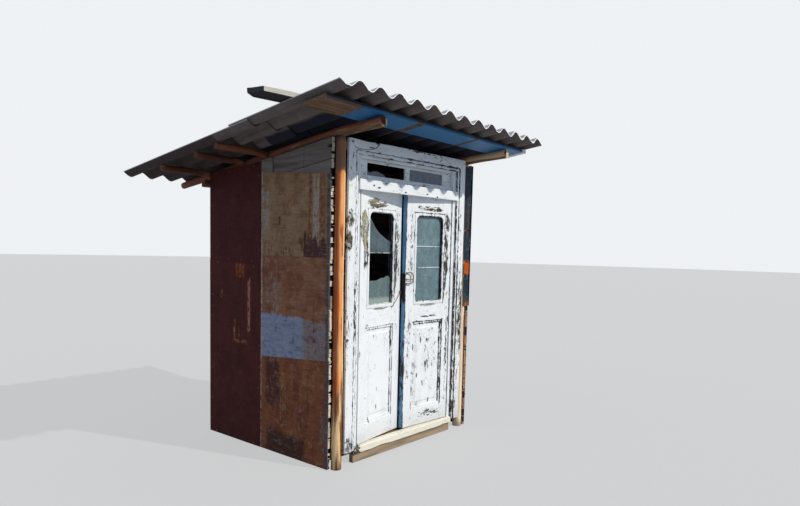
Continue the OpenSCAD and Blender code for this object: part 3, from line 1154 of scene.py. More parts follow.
@dataclass(frozen=True)
class RustyIron(Finish):
    """Wrought iron with dull brown rust.

    Attributes:
        site: the piece's axes.
        rust: the rust's colour.
    """

    site: Site
    rust: Rgb = (104, 62, 42)

    def wire(self) -> bpy.types.Material:
        """Wires rust over dark iron."""
        r = Recipe(self.name, self.site)
        blotch = r.noise(r.spot, 90.0, 5.0, 0.65)
        grit = r.noise(r.spot, 700.0, 3.0)
        colour = r.blend(r.rise(blotch, 0.38, 0.62), (54, 42, 38), self.rust)
        colour = r.over(colour, (150, 92, 56), r.rise(grit, 0.5, 0.8), 0.5)
        return r.done(colour, 0.75, r.plus(blotch, grit), 0.0006, 0.2)


# Finishes by name

IRON = RustyIron("rusty_iron", HUT)
CEMENT = FibreCement(
    "fibre_cement",
    ROOF,
    light=(154, 146, 132),
    middle=(106, 100, 91),
    dark=(78, 72, 66),
)
# The underside has less lichen, and its greys are painted browner and less pale, as shade lit by warm light
# bounced from the ground.
CEMENT_UNDER_SHADED = FibreCement(
    "fibre_cement_underside_painted_shade",
    ROOF,
    light=(128, 115, 108),
    middle=(112, 100, 94),
    dark=(82, 72, 68),
    lichen=0.2,
    # Painted shade toward the rear, along the left rafter and between the rafters behind the front board.
    painted_shades=(
        ((70, 58, 54), -1.4, 1.4, 0.75, 2.1),
        ((20, 27, 46), -0.93, -0.74, -0.32, 0.62),
        ((36, 38, 50), -0.78, 0.95, -0.22, 1.42),
    ),
)
CEMENT_EDGE = BrokenEdge("fibre_cement_edge", ROOF)
LEFT_POST = PeeledPole(
    "left_post_wood",
    HUT,
    Along.Z,
    bark=0.26,
    bare=(250, 142, 66),
    dark=(178, 86, 44),
    pale=(255, 200, 134),
    foot=0.68,
    lean=(4.0, -POST_X),
    # Painted shade: the top under the roof is painted grey.
    shaded_top=2.07,
    # Painted shade on the left side and a painted highlight on the right side.
    sides=(((160, 76, 44), -0.777, -0.792), ((255, 220, 168), -0.756, -0.746)),
    frayed=((126, 72, 38), (246, 204, 148)),
)
RIGHT_POST = PeeledPole(
    "right_post_wood",
    HUT,
    Along.Z,
    bark=0.1,
    bare=(240, 206, 166),
    dark=(196, 146, 104),
    pale=(250, 230, 198),
)
REAR_POST = PeeledPole("rear_post_wood", HUT, Along.Z, bark=0.4, foot=0.6)
RAFTER_POLE = PeeledPole(
    "peeled_rafter",
    ROOF,
    Along.Y,
    bark=0.75,
    bare=(170, 106, 74),
    dark=(140, 80, 64),
    sides=(((232, 190, 146), 0.3, 0.5),),
    belly=-0.05,
    droop=0.07,
)
CROSS_POLE = PeeledPole(
    "peeled_cross_pole",
    ROOF,
    Along.X,
    bark=0.62,
    bare=(132, 80, 56),
    dark=(88, 48, 38),
    pale=(150, 104, 74),
)
BATTEN = PeeledPole(
    "sawn_batten",
    HUT,
    Along.X,
    bark=0.2,
    bare=(160, 122, 84),
    dark=(96, 70, 50),
    pale=(190, 160, 118),
)
SIDE_BOARDS = GreyBoard("side_wall_boards", HUT, Along.Y, (158, 145, 135), (118, 105, 97), (62, 51, 46))
# The left wall's board ends are painted pale as a highlight where the sun catches them.
SPLINTERS = GreyBoard("board_ends_painted_highlight", HUT, Along.Z, (240, 228, 206), (216, 196, 166), (84, 66, 52))
ORANGE_SPLINTERS = GreyBoard("orange_board_ends", HUT, Along.Z, (196, 146, 98), (166, 116, 74), (104, 70, 48))
REAR_BOARDS = GreyBoard("rear_wall_boards", HUT, Along.X)
FLOOR_WOOD = GreyBoard("floor_wood", HUT, Along.Y, (176, 148, 112), (134, 106, 76), (84, 64, 48))
PLANK_WOOD = GreyBoard("roof_plank_wood", ROOF, Along.X, (212, 206, 194), (186, 176, 160), (128, 118, 106))
# Painted shade for the plank's underside and left end, and for the upper front face of the front board under
# the sheets.
PLANK_SHADE = GreyBoard("plank_wood_painted_shade", ROOF, Along.X, (62, 60, 64), (48, 46, 50), (32, 30, 32))
BOARD_EDGE = GreyBoard("front_board_edge", ROOF, Along.X, (128, 110, 102), (104, 88, 82), (72, 60, 56))
ZINC = OldSheet(
    "bare_zinc_edge",
    HUT,
    coat=(146, 140, 136),
    cloud=(122, 116, 112),
    rust=(92, 72, 60),
    runs=0.2,
    lines=0.2,
)
DAMP_WOOD = GreyBoard("damp_foot_board", HUT, Along.X, (178, 156, 128), (154, 132, 106), (116, 98, 80))
# Painted shade for board ends set back in the walls and for the far side and top of a glazed light.
SHADE_WOOD = GreyBoard("dark_wood_painted_shade", HUT, Along.Z, (50, 48, 50), (38, 36, 38), (24, 22, 24))
JAMB_PAINT = FlakedPaint("jamb_paint", HUT, Along.Z, wear=0.25)


# Sub-assemblies


def board(low: Point, high: Point, axis: Along, seed: int, wane: float = 0.003) -> Solid:
    """Makes one rough board.

    Args:
        low: its lowest corner.
        high: its highest corner.
        axis: the direction of its length.
        seed: which of the random shapes.
        wane: how far its edges stray.

    Returns:
        The board, sliced, strayed and with its edges eased.
    """
    solid = Solid.block(low, high).slice(axis, 0.11)
    reach = [wane, wane, wane]
    thin = min(range(3), key=lambda i: high[i] - low[i])
    reach[thin] = 0.0006
    solid.ruffle((reach[0], reach[1], reach[2]), 7.0, seed)
    return solid.ease(0.0018)


def nail(spot: Point, normal: Along, sign: float, radius: float = 0.004) -> Solid:
    """Makes a nail head, a low dome over a short shank.

    Args:
        spot: where the head meets the surface.
        normal: the axis on which the nail stands.
        sign: which way the head looks.
        radius: the head's radius.

    Returns:
        The nail.
    """
    step = Vector((0.0, 0.0, 0.0))
    step[normal.value] = sign
    start = Vector(spot)
    path = [start - step * 0.002, start + step * 0.0004, start + step * 0.0012, start + step * 0.0016]
    return Solid.rod([tuple(p) for p in path], [radius, radius, radius * 0.75, radius * 0.3], 8)


def rectangle(left: float, low: float, right: float, high: float) -> list[Flat]:
    """Gives a rectangle's corners."""
    return [(left, low), (right, low), (right, high), (left, high)]


def is_front_end(face: bmesh.types.BMFace) -> bool:
    """Tells whether a face is the end of a rod that faces the front."""
    return is_end(face) and face.normal.y < -0.5


def is_end(face: bmesh.types.BMFace) -> bool:
    """Tells a rod's flat end from the four-cornered faces of its side."""
    return len(face.verts) > 6


@dataclass
class PoleFrame:
    """Posts, rafters and cross poles, peeled and only roughly straight.

    Attributes:
        post_r: radius of a post at its foot.
        rafter_r: radius of a rafter over the front post.
        cross_r: radius of a cross pole.
    """

    post_r: float = 0.0375
    rafter_r: float = 0.0355
    cross_r: float = 0.0245

    def bent(self, start: Vector, end: Vector, count: int, sway: float, seed: int) -> list[Point]:
        """Gives a path between two points that sways a little."""
        path = []
        for i in range(count + 1):
            t = i / count
            stray = noise.noise_vector(Vector((seed * 5.3, t * 2.4, seed * 1.7))) * sway
            path.append(tuple(start.lerp(end, t) + stray * math.sin(math.pi * t)))
        return path

    def post(self, side: int, y: float, seed: int) -> Solid:
        """Makes a post and cuts its top to the rafter over it."""
        x, steps = side * POST_X, 26
        start, end = Vector((x, y, -0.01)), Vector((x, y, under_roof(x, y, 0.05) + 0.03))
        path = self.bent(start, end, steps, 0.006, seed)
        rng = random.Random(seed)
        taper = [1.0 - 0.07 * i / steps for i in range(steps + 1)]
        radii = [self.post_r * t - rng.uniform(0.0, 0.0016) for t in taper]
        solid = Solid.rod(path, radii, 20).ruffle((0.0014, 0.0014, 0.0), 18.0, seed)
        solid.trim((x, y, under_roof(x, y, 0.074)), ROOF_UP)
        return solid.trim((0.0, 0.0, 0.0005), (0.0, 0.0, -1.0))

    def rafter(self, side: int, seed: int) -> Solid:
        """Makes a rafter that tapers to the rear and droops in front of the post."""
        front, rear, steps = -0.352, 1.96, 33
        post_y, overhang = 0.02, 0.372
        spots, radii = [], []
        for i in range(steps + 1):
            y = front + i * (rear - front) / steps
            radius = self.rafter_r - 0.008 * max(0.0, y) / rear
            droop = 0.026 * max(0.0, (post_y - y) / overhang) ** 1.2
            x = side * POST_X + swing(seed * 3.1, y * 1.6, 0.0) * 0.006
            spots.append((x, y, -0.002 - radius - droop))
            radii.append(radius + swing(y * 5.0, seed * 2.0, 4.0) * 0.0012)
        return Solid.rod(spots, radii, 20).ruffle((0.0015, 0.0, 0.0012), 16.0, seed)

    def cross_pole(self, y: float, left: float, right: float, seed: int) -> Solid:
        """Makes a cross pole that lies over both rafters."""
        steps, level = 30, -0.0255
        path = self.bent(Vector((left, y, level)), Vector((right, y, level)), steps, 0.004, seed)
        radii = [self.cross_r - 0.003 * i / steps for i in range(steps + 1)]
        return Solid.rod(path, radii, 16).ruffle((0.0, 0.0016, 0.0012), 14.0, seed)

    def build(self) -> None:
        """Makes and dresses the poles."""
        for name, spots, seed in (("front", (0.022, 0.052), 3), ("rear", (1.384, 1.384), 7)):
            piece = Piece(f"{name}_post_poles")
            for side, y in zip((-1, 1), spots):
                piece.add(self.post(side, y, seed + side), 0.5, (side + 1) // 2 if name == "front" else 0)
            woods = [LEFT_POST, RIGHT_POST] if name == "front" else [REAR_POST]
            piece.deliver(HUT, "hut", woods, [f"{name}_posts"])
        piece = Piece("rafter_poles")
        for side in (-1, 1):
            piece.add(self.rafter(side, 5 + side))
        for number, side in ((1, -1), (2, 1)):
            piece.dye(number, lambda f: is_front_end(f) and f.calc_center_median().x * side > 0)
        ends = [
            CutEnd(f"rafter_end_{word}", ROOF, (side * POST_X, 0.0, -0.0635), Along.Y, lit)
            for word, side, lit in (("left", -1, 0.019), ("right", 1, -0.01))
        ]
        piece.deliver(ROOF, "hut", [RAFTER_POLE, *ends], ["rafters"])
        piece = Piece("cross_pole_set")
        for y, left, right, seed in ((0.77, -1.235, 0.9, 2), (1.05, -1.215, 0.88, 4), (1.5, -1.225, 0.92, 6)):
            piece.add(self.cross_pole(y, left, right, seed))
        piece.deliver(ROOF, "hut", [CROSS_POLE], ["cross_poles"])
        piece = Piece("rear_plate_timber")
        low, high = (-0.86, WALL_REAR + 0.04, -0.1305), (0.86, WALL_REAR + 0.092, -0.0785)
        piece.add(board(low, high, Along.X, 11, 0.002))
        piece.deliver(ROOF, "hut", [CROSS_POLE], ["rear_plate"])
        piece = Piece("front_rail_timber")
        piece.add(board((-0.72, 0.024, 2.216), (0.72, 0.069, 2.276), Along.X, 12, 0.002))
        piece.deliver(HUT, "hut", [BATTEN], ["front_rail"])


@dataclass
class RoofCover:
    """Corrugated sheets, the wide board under their front edge and the loose plank on top.

    Attributes:
        pitch: distance between two crests.
        rise: height of a crest over a trough.
        thick: thickness of a sheet.
        first_crest: place of the first crest across the roof.
    """

    pitch: float = 0.177
    rise: float = 0.048
    thick: float = 0.006
    first_crest: float = -1.305

    def sheet(self, name: str, waves: Flat, run: Flat, lift: float, seed: int) -> None:
        """Makes one corrugated sheet.

        Args:
            name: the solid of the frame that it stands for.
            waves: where it starts and ends, in waves from the first crest.
            run: where it starts and ends down the roof.
            lift: its height over the bearing plane.
            seed: which of the random shapes.
        """
        solid = Solid()
        broken = 0.016 if name.startswith("front_left") else 0.0
        across = round((waves[1] - waves[0]) * 20)
        down = round((run[1] - run[0]) / 0.06)
        bmesh.ops.create_grid(solid.bm, x_segments=across, y_segments=down, size=1.0)

        def wave(spot: Vector) -> Vector:
            """Bends the flat grid into waves, lets its ends stray and chips them."""
            n = waves[0] + (spot.x + 1.0) / 2.0 * (waves[1] - waves[0])
            y = run[0] + (spot.y + 1.0) / 2.0 * (run[1] - run[0])
            near_end = abs(spot.y) ** 8
            ragged = swing(n * 3.0, seed, 0.0) * 0.003
            chip = max(0.0, swing(n * 7.0, seed * 2.0, 5.0) - 0.25) * 0.02
            inward = 1 if spot.y < 0 else -1
            corner = broken * max(0.0, 1.0 - (n - waves[0]) / 0.3) if spot.y < 0 else 0.0
            y += ragged * near_end + (0.0035 + chip + corner) * near_end * inward
            z = lift + self.rise / 2.0 * (1.0 + math.cos(2.0 * math.pi * n))
            z += swing(n * 0.4, y * 1.3, seed) * 0.0012
            return Vector((self.first_crest + n * self.pitch, y, z))

        solid.shape(wave)
        solid.thicken(solid.bm.faces[:], Along.Z, self.thick)
        bmesh.ops.recalc_face_normals(solid.bm, faces=solid.bm.faces)
        solid.smooth()
        piece = Piece(name.replace("_roof_sheet", "_corrugated_sheet"))
        piece.add(solid)
        # Faces below take the underside's finish with its painted shade; so do the front ends of the rear
        # sheets, which lie in shade under the front sheets.
        piece.dye(2, lambda f: f.normal.z < -0.05)
        piece.dye(1 if run[0] < 0.0 else 2, lambda f: f.calc_area() < 0.0002 and f.normal.y < -0.25)
        piece.deliver(ROOF, "hut", [CEMENT, CEMENT_EDGE, CEMENT_UNDER_SHADED], [name])

    def sheet_nails(self) -> None:
        """Sets roofing nails with their washers on the crests over the poles."""
        piece = Piece("roofing_nails")
        profile = ((-0.004, 0.013), (0.0012, 0.013), (0.0014, 0.008), (0.0045, 0.006), (0.006, 0.002))
        rng = random.Random(17)
        for y, lift in ((-0.33, 0.0135), (0.78, 0.0), (1.05, 0.0), (1.5, 0.0)):
            for crest in range(1, 14):
                if rng.random() < 0.35:
                    continue
                height = lift if crest < 6 or y > 0.6 or crest > 10 else self.thick + 0.001
                x = self.first_crest + crest * self.pitch + rng.uniform(-0.004, 0.004)
                spot = (x, y + rng.uniform(-0.02, 0.02), height + self.rise + self.thick)
                path = [tuple(Vector(spot) + Vector((0.0, 0.0, step))) for step, _ in profile]
                piece.add(Solid.rod(path, [radius for _, radius in profile], 10))
        piece.deliver(ROOF, "hut", [IRON])

    def front_board(self) -> None:
        """Makes the wide board under the front edge, blue with bare strips."""
        solid = Solid.block((-1.269, -0.371, -0.0235), (1.054, -0.176, 0.006))
        solid.slice(Along.X, 0.06).slice(Along.Z, 0.0075)
        solid.ruffle((0.0, 0.0008, 0.0004), 3.0, 21).ease(0.0015)
        piece = Piece("front_board")
        piece.add(solid)
        piece.dye(1, lambda f: f.normal.y < -0.7 and f.calc_center_median().x < -0.95)
        # The upper part of the front face, under the sheets, takes painted shade.
        piece.dye(3, lambda f: f.normal.y < -0.7 and f.calc_center_median().z > -0.008)
        piece.dye(2, lambda f: f.calc_center_median().x > 0.985)
        coat = FlakedPaint(
            "blue_board_paint",
            ROOF,
            Along.X,
            coat=(10, 106, 158),
            stain=(18, 78, 126),
            wear=0.15,
            patches=(
                Patch((-1.16, 0.0), (0.24, 9.0), 9.0),
                Patch((-0.385, 0.0), (0.042, 9.0), 7.0),
                Patch((0.29, 0.0), (0.035, 9.0), 2.8),
            ),
            bare=(120, 96, 74),
            second=(146, 112, 84),
            second_patches=(Patch((-1.16, 0.0), (0.6, 9.0), 4.0),),
            most=9.0,
        )
        white = FlakedPaint("board_end_paint", ROOF, Along.Y, wear=0.2)
        finishes = [coat, BOARD_EDGE, white, PLANK_SHADE]
        piece.deliver(ROOF, "hut", finishes, ["front_roof_board"])

    def plank(self) -> None:
        """Makes the rough plank that weighs the roof down."""
        outline = [(0.062, 0.0), (1.085, 0.0), (1.1, 0.07), (1.088, 0.128), (0.066, 0.128), (0.0, 0.084)]
        solid = Solid.slab(outline, 0.0, 0.04, Along.Z).slice(Along.X, 0.05).slice(Along.Y, 0.03)

        def worn(spot: Vector) -> Vector:
            """Draws the faces in unevenly."""
            ragged = swing(spot.x * 6.0, spot.y * 9.0, 3.0)
            edge = swing(spot.x * 5.0, 8.0, 1.0)
            y = 0.064 + (spot.y - 0.064) * (0.95 + 0.05 * edge)
            z = spot.z - (0.004 + 0.006 * ragged if spot.z > 0.03 else -0.001)
            x = spot.x + (0.006 * (1.0 + ragged) if spot.x < 0.07 else 0.0)
            return Vector((x, y, z))

        solid.shape(worn).ease(0.003)
        place = Matrix.Translation((-1.522, -0.045, self.rise + 0.02))
        piece = Piece("loose_plank")
        piece.add(solid.place(place @ Matrix.Rotation(math.radians(-5), 4, "Z")))
        # The plank's underside and left end take painted shade.
        piece.dye(1, lambda f: f.normal.z < -0.5 or f.normal.x < -0.45)
        piece.deliver(ROOF, "hut", [PLANK_WOOD, PLANK_SHADE], ["roof_plank"])

    def build(self) -> None:
        """Makes and dresses the roof's cover."""
        high, low = 2 * self.thick + 0.0015, self.thick + 0.001
        self.sheet("front_left_roof_sheet", (1 / 6, 6.25), (-0.52, 0.56), high, 1)
        self.sheet("front_right_roof_sheet", (5 + 2 / 3, 13.4), (-0.52, 0.56), low, 2)
        self.sheet("rear_left_roof_sheet", (1 / 6, 5.66), (0.35, 1.985), 0.0, 3)
        self.sheet("rear_right_roof_sheet", (5.675, 13.33), (0.35, 1.985), 0.0, 4)
        self.sheet("narrow_roof_sheet", (10.59, 13.33), (-0.52, 0.36), high, 5)
        self.sheet_nails()
        self.front_board()
        self.plank()


@dataclass
class BoardWalls:
    """Walls of level boards, their sheet metal and its nails.

    Attributes:
        thick: thickness of a board.
        width: usual width of a board.
    """

    thick: float = 0.024
    width: float = 0.168

    def torn(self, front: float, rear: float, low: float, high: float, rng: random.Random) -> list[Flat]:
        """Gives a board's outline with a splintered front end."""
        line = [(rear, low), (rear, high)]
        z = high
        while z > low:
            depth = rng.choices((0.0, 0.001, 0.003, 0.006, 0.012), (3, 3, 2, 2, 3))[0]
            step = min(rng.uniform(0.006, 0.045) * rng.uniform(0.4, 1.2), z - low)
            step = z - low if z - low - step < 0.004 else step
            slanted = front + depth * rng.uniform(0.3, 1.1) + rng.uniform(0.0, 0.002)
            line += [(front + depth, z), (slanted, z - step + 0.0012)]
            z -= step
        return line

    def side_wall(self, side: Side) -> None:
        """Makes a side wall of level boards with splintered front ends and sloping top boards."""
        sign = side.value
        rng = random.Random(31 + sign)
        inner, outer = HALF_WIDTH - self.thick, HALF_WIDTH
        low_x, high_x = sorted((sign * inner, sign * outer))
        # On the left wall the board ends' pale finish is a painted highlight.
        begin, ends = (WALL_FRONT, SPLINTERS) if side is Side.LEFT else (0.0125, ORANGE_SPLINTERS)
        piece = Piece(f"{side.word()}_wall_boards")
        far = sign * (inner + outer) / 2
        deep, cut = 0.211, 0.215
        joints = [0.004] + [0.078 + 0.15 * k + rng.uniform(-0.006, 0.006) for k in range(16)]
        for count, (low, high) in enumerate(zip(joints, joints[1:])):
            rear = WALL_REAR - rng.uniform(0.0, 0.004)
            outline = self.torn(begin + rng.uniform(0.001, 0.006), rear, low, high - 0.003, rng)
            solid = Solid.slab(outline, low_x + 0.0008, high_x - 0.0008, Along.X)
            solid.slice(Along.Y, 0.09).ruffle((0.0006, 0.0, 0.0012), 9.0, 40 + count)
            solid.trim((far, 0.4, under_roof(far, 0.4, cut)), ROOF_UP)
            if len(solid.bm.faces) > 5:
                piece.add(solid, rng.random())
        for y0, y1 in ((begin, 0.32), (0.323, 0.648), (0.662, WALL_REAR)):
            foot, top = under_roof(far, y0, deep), under_roof(far, y0, 0.074)
            rear = [(y1, under_roof(far, y1, deep)), (y1, under_roof(far, y1, 0.074 if y1 < 0.8 else 0.03))]
            if y0 == begin:
                outline = rear + self.torn(y0 + 0.001, y1, foot, top, rng)[2:]
            else:
                outline = [(y0, foot), *rear, (y0, top)]
            solid = Solid.slab(outline, low_x + 0.0005, high_x - 0.0005, Along.X).slice(Along.Y, 0.09)
            solid.ruffle((0.0005, 0.0, 0.001), 9.0, 60 + int(y0 * 100))
            piece.add(solid, rng.random())
        # Board ends near the front take the end finish; ends set further back take painted shade.
        for number, (near, past) in enumerate(((-1.0, 0.0108), (0.0108, 0.02)), start=1):
            piece.dye(number, lambda f: f.normal.y < -0.5 and near <= f.calc_center_median().y - begin < past)
        woods = [SIDE_BOARDS, ends, SHADE_WOOD]
        piece.deliver(HUT, "hut", woods, [f"{side.word()}_wall"])

    def rear_wall(self) -> None:
        """Makes the rear wall of level boards."""
        rng = random.Random(51)
        piece = Piece("rear_wall_boards")
        half = HALF_WIDTH - self.thick - 0.001
        y0, y1 = WALL_REAR - self.thick, WALL_REAR
        z, count = 0.003, 0
        while z < 2.06:
            tall = self.width + rng.uniform(-0.02, 0.03)
            joint = rng.uniform(-0.5, 0.5) if count % 3 == 1 else half
            ends = [(-half, joint - 0.002)] + ([(joint + 0.002, half)] if joint < half else [])
            for left, right in ends:
                solid = Solid.block((left, y0 + 0.0008, z), (right, y1 - 0.0008, z + tall - 0.003))
                solid.slice(Along.X, 0.1).ruffle((0.0, 0.0006, 0.0022), 9.0, 80 + count)
                solid.trim((0.0, y1, under_roof(0.0, y1, 0.075)), ROOF_UP)
                if len(solid.bm.faces) > 5:
                    piece.add(solid.ease(0.0015), rng.random())
            z += tall
            count += 1
        piece.deliver(HUT, "hut", [REAR_BOARDS], ["rear_wall"])

    def cladding(
        self,
        node: str,
        side: Side,
        outline: Sequence[Flat],
        finish: Finish,
        seed: int,
        strips: Sequence[Solid] = (),
    ) -> None:
        """Makes one flattened sheet with dents, folded edges and nails.

        Args:
            node: the solid of the frame that it stands for.
            side: which side wall it lies on.
            outline: its corners, back from the door and up.
            finish: its material.
            seed: which of the random shapes.
            strips: parts of the sheet that are bent over the post.
        """
        rng = random.Random(seed)
        near, far = HALF_WIDTH + 0.0006, HALF_WIDTH + 0.0034
        sign = side.value
        solid = Solid.slab(outline, sign * (near + 0.0006), sign * (near + 0.0018), Along.X)
        solid.slice(Along.Y, 0.045).slice(Along.Z, 0.05)
        for vert in solid.bm.verts:
            dent = swing(vert.co.y * 5.0, vert.co.z * 4.0, seed * 3.3)
            vert.co.x += sign * max(-0.0006, min(0.0014, dent * 0.0022))
        piece = Piece(f"{node}_sheet")
        piece.add(solid.smooth())
        count = len(outline)
        inward = Vector((sum(o[0] for o in outline) / count, sum(o[1] for o in outline) / count))
        for i in range(count):
            start, end = Vector(outline[i]), Vector(outline[(i + 1) % count])
            length = (end - start).length
            steps = max(2, round(length / 0.06))
            path = []
            for k in range(steps + 1):
                y, z = start.lerp(end, k / steps)
                stray = swing(y * 9.0, z * 9.0, seed) * 0.0008
                path.append((sign * (near + 0.0014 + abs(stray)), y, z))
            if length > 0.2:
                front = start.y != end.y and max(start.x, end.x) < 0.1
                piece.add(Solid.rod(path, [0.0014] * len(path), 6), 0.5, 2 if front else 0)
            holes = max(2, round(length / 0.17))
            for k in range(holes):
                spot = start.lerp(end, (k + 0.5) / holes)
                spot += (inward - spot).normalized() * (0.014 + rng.uniform(0.0, 0.012))
                place = (sign * (far - 0.0016), spot.x + rng.uniform(-0.02, 0.02), spot.y)
                piece.add(nail(place, Along.X, sign, 0.0042), 0.5, 1)
        for strip in strips:
            piece.add(strip)
        piece.deliver(HUT, "hut", [finish, IRON, ZINC], [node])

    def post_strips(self) -> list[Solid]:
        """Makes the torn strips of the upper right sheet that are bent over the post's face."""
        rng = random.Random(91)
        outer, inner, steps = 0.806, 0.743, 6
        parts = []
        for low, high in ((1.72, 2.25), (1.45, 1.712), (1.335, 1.442), (1.064, 1.328)):
            line = [(outer, low), (outer, high)]
            for k in range(steps + 1):
                z = high - (high - low) * k / steps
                line.append((inner - 0.033 * (z - 1.06) / 1.19 + rng.uniform(0.0, 0.006), z))
            parts.append(Solid.slab(line, 0.0086, 0.0102, Along.Y))
        return parts

    def left_cladding(self) -> None:
        """Makes the five sheets of the left wall."""
        zinc = (76, 74, 78)
        seam = (185, 160, 139)
        tan = OldSheet(
            "tan_sheet",
            HUT,
            coat=(149, 118, 88),
            cloud=(134, 100, 73),
            rust=(118, 68, 42),
            runs=0.05,
            lines=0.4,
            stains=(
                Stain((151, 142, 134), (0.69, 0.80, 1.62, 1.95), 0.7, 0.01, 0.06, 0.35),
                Stain((139, 82, 46), (0.38, 0.50, 1.78, 1.93), 0.5, 0.03, 0.06, 0.5),
                Stain((111, 56, 34), (0.232, 0.262, 1.62, 2.06), 0.8, 0.006, 0.06, 0.3),
                Stain((111, 56, 34), (0.095, 0.150, 1.62, 2.05), 0.7, 0.008, 0.06, 0.35),
                Stain((170, 150, 134), (0.155, 0.215, 1.61, 2.02), 0.9, 0.006, 0.05, 0.2),
                Stain((72, 42, 42), (0.082, 0.312, 1.44, 1.615), 1.0, 0.003, 0.09, 0.0),
                Stain((88, 44, 32), (0.30, 0.36, 1.50, 1.61), 0.8, 0.012, 0.03, 0.5),
                Stain((97, 54, 38), (0.40, 0.62, 1.47, 1.535), 0.8, 0.03, 0.03, 0.5),
                Stain((101, 54, 36), (0.62, 0.76, 1.48, 1.60), 0.6, 0.02, 0.05, 0.6),
                Stain((32, 22, 19), (0.567, 0.581, 1.705, 1.765), 1.0, 0.002, 0.004, 0.0),
                Stain(seam, (0.768, 0.79, 1.4, 2.1), 0.9, 0.002, 0.02, 0.3),
                Stain(zinc, (0.0, 0.078, 1.4, 2.1), 0.9, 0.002, 0.0, 0.1),
            ),
        )
        brown = OldSheet(
            "brown_and_zinc_sheet",
            HUT,
            coat=(141, 96, 71),
            cloud=(118, 68, 48),
            rust=(97, 54, 38),
            runs=0.1,
            lines=0.4,
            stains=(
                Stain((153, 126, 103), (0.30, 0.80, 1.38, 1.47), 0.5, 0.03, 0.02, 0.6),
                Stain((139, 128, 122), (0.55, 0.72, 1.03, 1.34), 0.75, 0.02, 0.06, 0.55),
                Stain((139, 144, 159), (0.30, 0.80, 0.70, 1.045), 0.95, 0.006, 0.01, 0.0),
                Stain((136, 128, 126), (0.04, 0.33, 0.70, 1.03), 0.75, 0.03, 0.02, 0.2),
                Stain((103, 70, 52), (0.13, 0.26, 0.78, 1.10), 0.6, 0.02, 0.05, 0.75),
                Stain((94, 56, 42), (0.40, 0.42, 0.88, 1.04), 0.6, 0.004, 0.04, 0.4),
                Stain(seam, (0.768, 0.79, 0.7, 1.5), 0.9, 0.002, 0.02, 0.3),
                Stain(zinc, (0.0, 0.078, 0.7, 1.5), 0.9, 0.002, 0.0, 0.1),
            ),
        )
        rust = OldSheet(
            "rust_brown_sheet",
            HUT,
            coat=(132, 80, 53),
            cloud=(111, 60, 42),
            rust=(84, 46, 36),
            runs=0.15,
            lines=0.4,
            stains=(
                Stain((58, 30, 26), (0.56, 0.72, 0.36, 0.70), 0.95, 0.02, 0.05, 0.25),
                Stain((82, 46, 40), (0.28, 0.52, 0.24, 0.56), 0.6, 0.03, 0.05, 0.5),
                Stain((158, 116, 80), (0.48, 0.55, 0.24, 0.60), 0.8, 0.014, 0.06, 0.45),
                Stain((151, 108, 74), (0.40, 0.44, 0.44, 0.62), 0.6, 0.01, 0.05, 0.5),
                Stain((52, 27, 23), (0.28, 0.70, -0.1, 0.17), 0.95, 0.03, 0.04, 0.1),
                Stain((155, 106, 73), (0.06, 0.30, 0.56, 0.74), 0.5, 0.03, 0.03, 0.5),
                Stain((118, 112, 105), (0.06, 0.13, 0.10, 0.36), 0.6, 0.014, 0.05, 0.5),
                Stain(seam, (0.77, 0.79, 0.0, 0.75), 0.8, 0.002, 0.02, 0.4),
                Stain(zinc, (0.0, 0.074, 0.0, 0.8), 0.9, 0.002, 0.0, 0.1),
            ),
        )
        dark = OldSheet(
            "dark_red_sheet",
            HUT,
            coat=(76, 38, 37),
            cloud=(69, 34, 33),
            rust=(61, 30, 29),
            runs=0.1,
            lines=0.05,
            gloss=0.04,
        )
        scuffed = OldSheet(
            "scuffed_dark_red_sheet",
            HUT,
            coat=(82, 42, 38),
            cloud=(71, 36, 33),
            rust=(61, 31, 29),
            runs=0.1,
            lines=0.06,
            stains=(
                Stain((149, 86, 53), (0.99, 1.10, 1.29, 1.40), 0.7, 0.012, 0.02, 0.4),
                Stain((174, 122, 100), (0.915, 0.945, 0.88, 1.29), 0.85, 0.005, 0.03, 0.25),
                Stain((168, 122, 84), (1.105, 1.125, 0.80, 0.95), 0.8, 0.004, 0.02, 0.45),
                Stain((168, 122, 84), (1.05, 1.065, 0.83, 0.95), 0.7, 0.004, 0.02, 0.55),
                Stain((164, 116, 78), (0.94, 1.13, 0.785, 0.805), 0.8, 0.006, 0.008, 0.45),
                Stain((158, 120, 92), (1.275, 1.30, 1.13, 1.19), 0.7, 0.006, 0.01, 0.3),
            ),
            gloss=0.04,
        )

        def roof(y: float, depth: float) -> Flat:
            """Gives a place on the wall under the roof."""
            return y, under_roof(-HALF_WIDTH, y, depth)

        sheets = (
            ("top", [(0.045, 1.479), (0.78, 1.479), (0.78, 2.092), (0.045, 2.044)], tan),
            ("middle", [(0.048, 0.768), (0.782, 0.716), (0.782, 1.477), (0.048, 1.477)], brown),
            ("bottom", [(0.04, 0.005), (0.784, 0.005), (0.784, 0.714), (0.04, 0.766)], rust),
            ("rear_top", [(0.79, 1.408), (1.443, 1.426), roof(1.443, 0.027), roof(0.79, 0.075)], dark),
            ("rear_bottom", [(0.79, 0.004), (1.445, 0.004), (1.445, 1.424), (0.79, 1.406)], scuffed),
        )
        for seed, (word, outline, finish) in enumerate(sheets, start=3):
            self.cladding(f"left_{word}_cladding", Side.LEFT, outline, finish, seed)

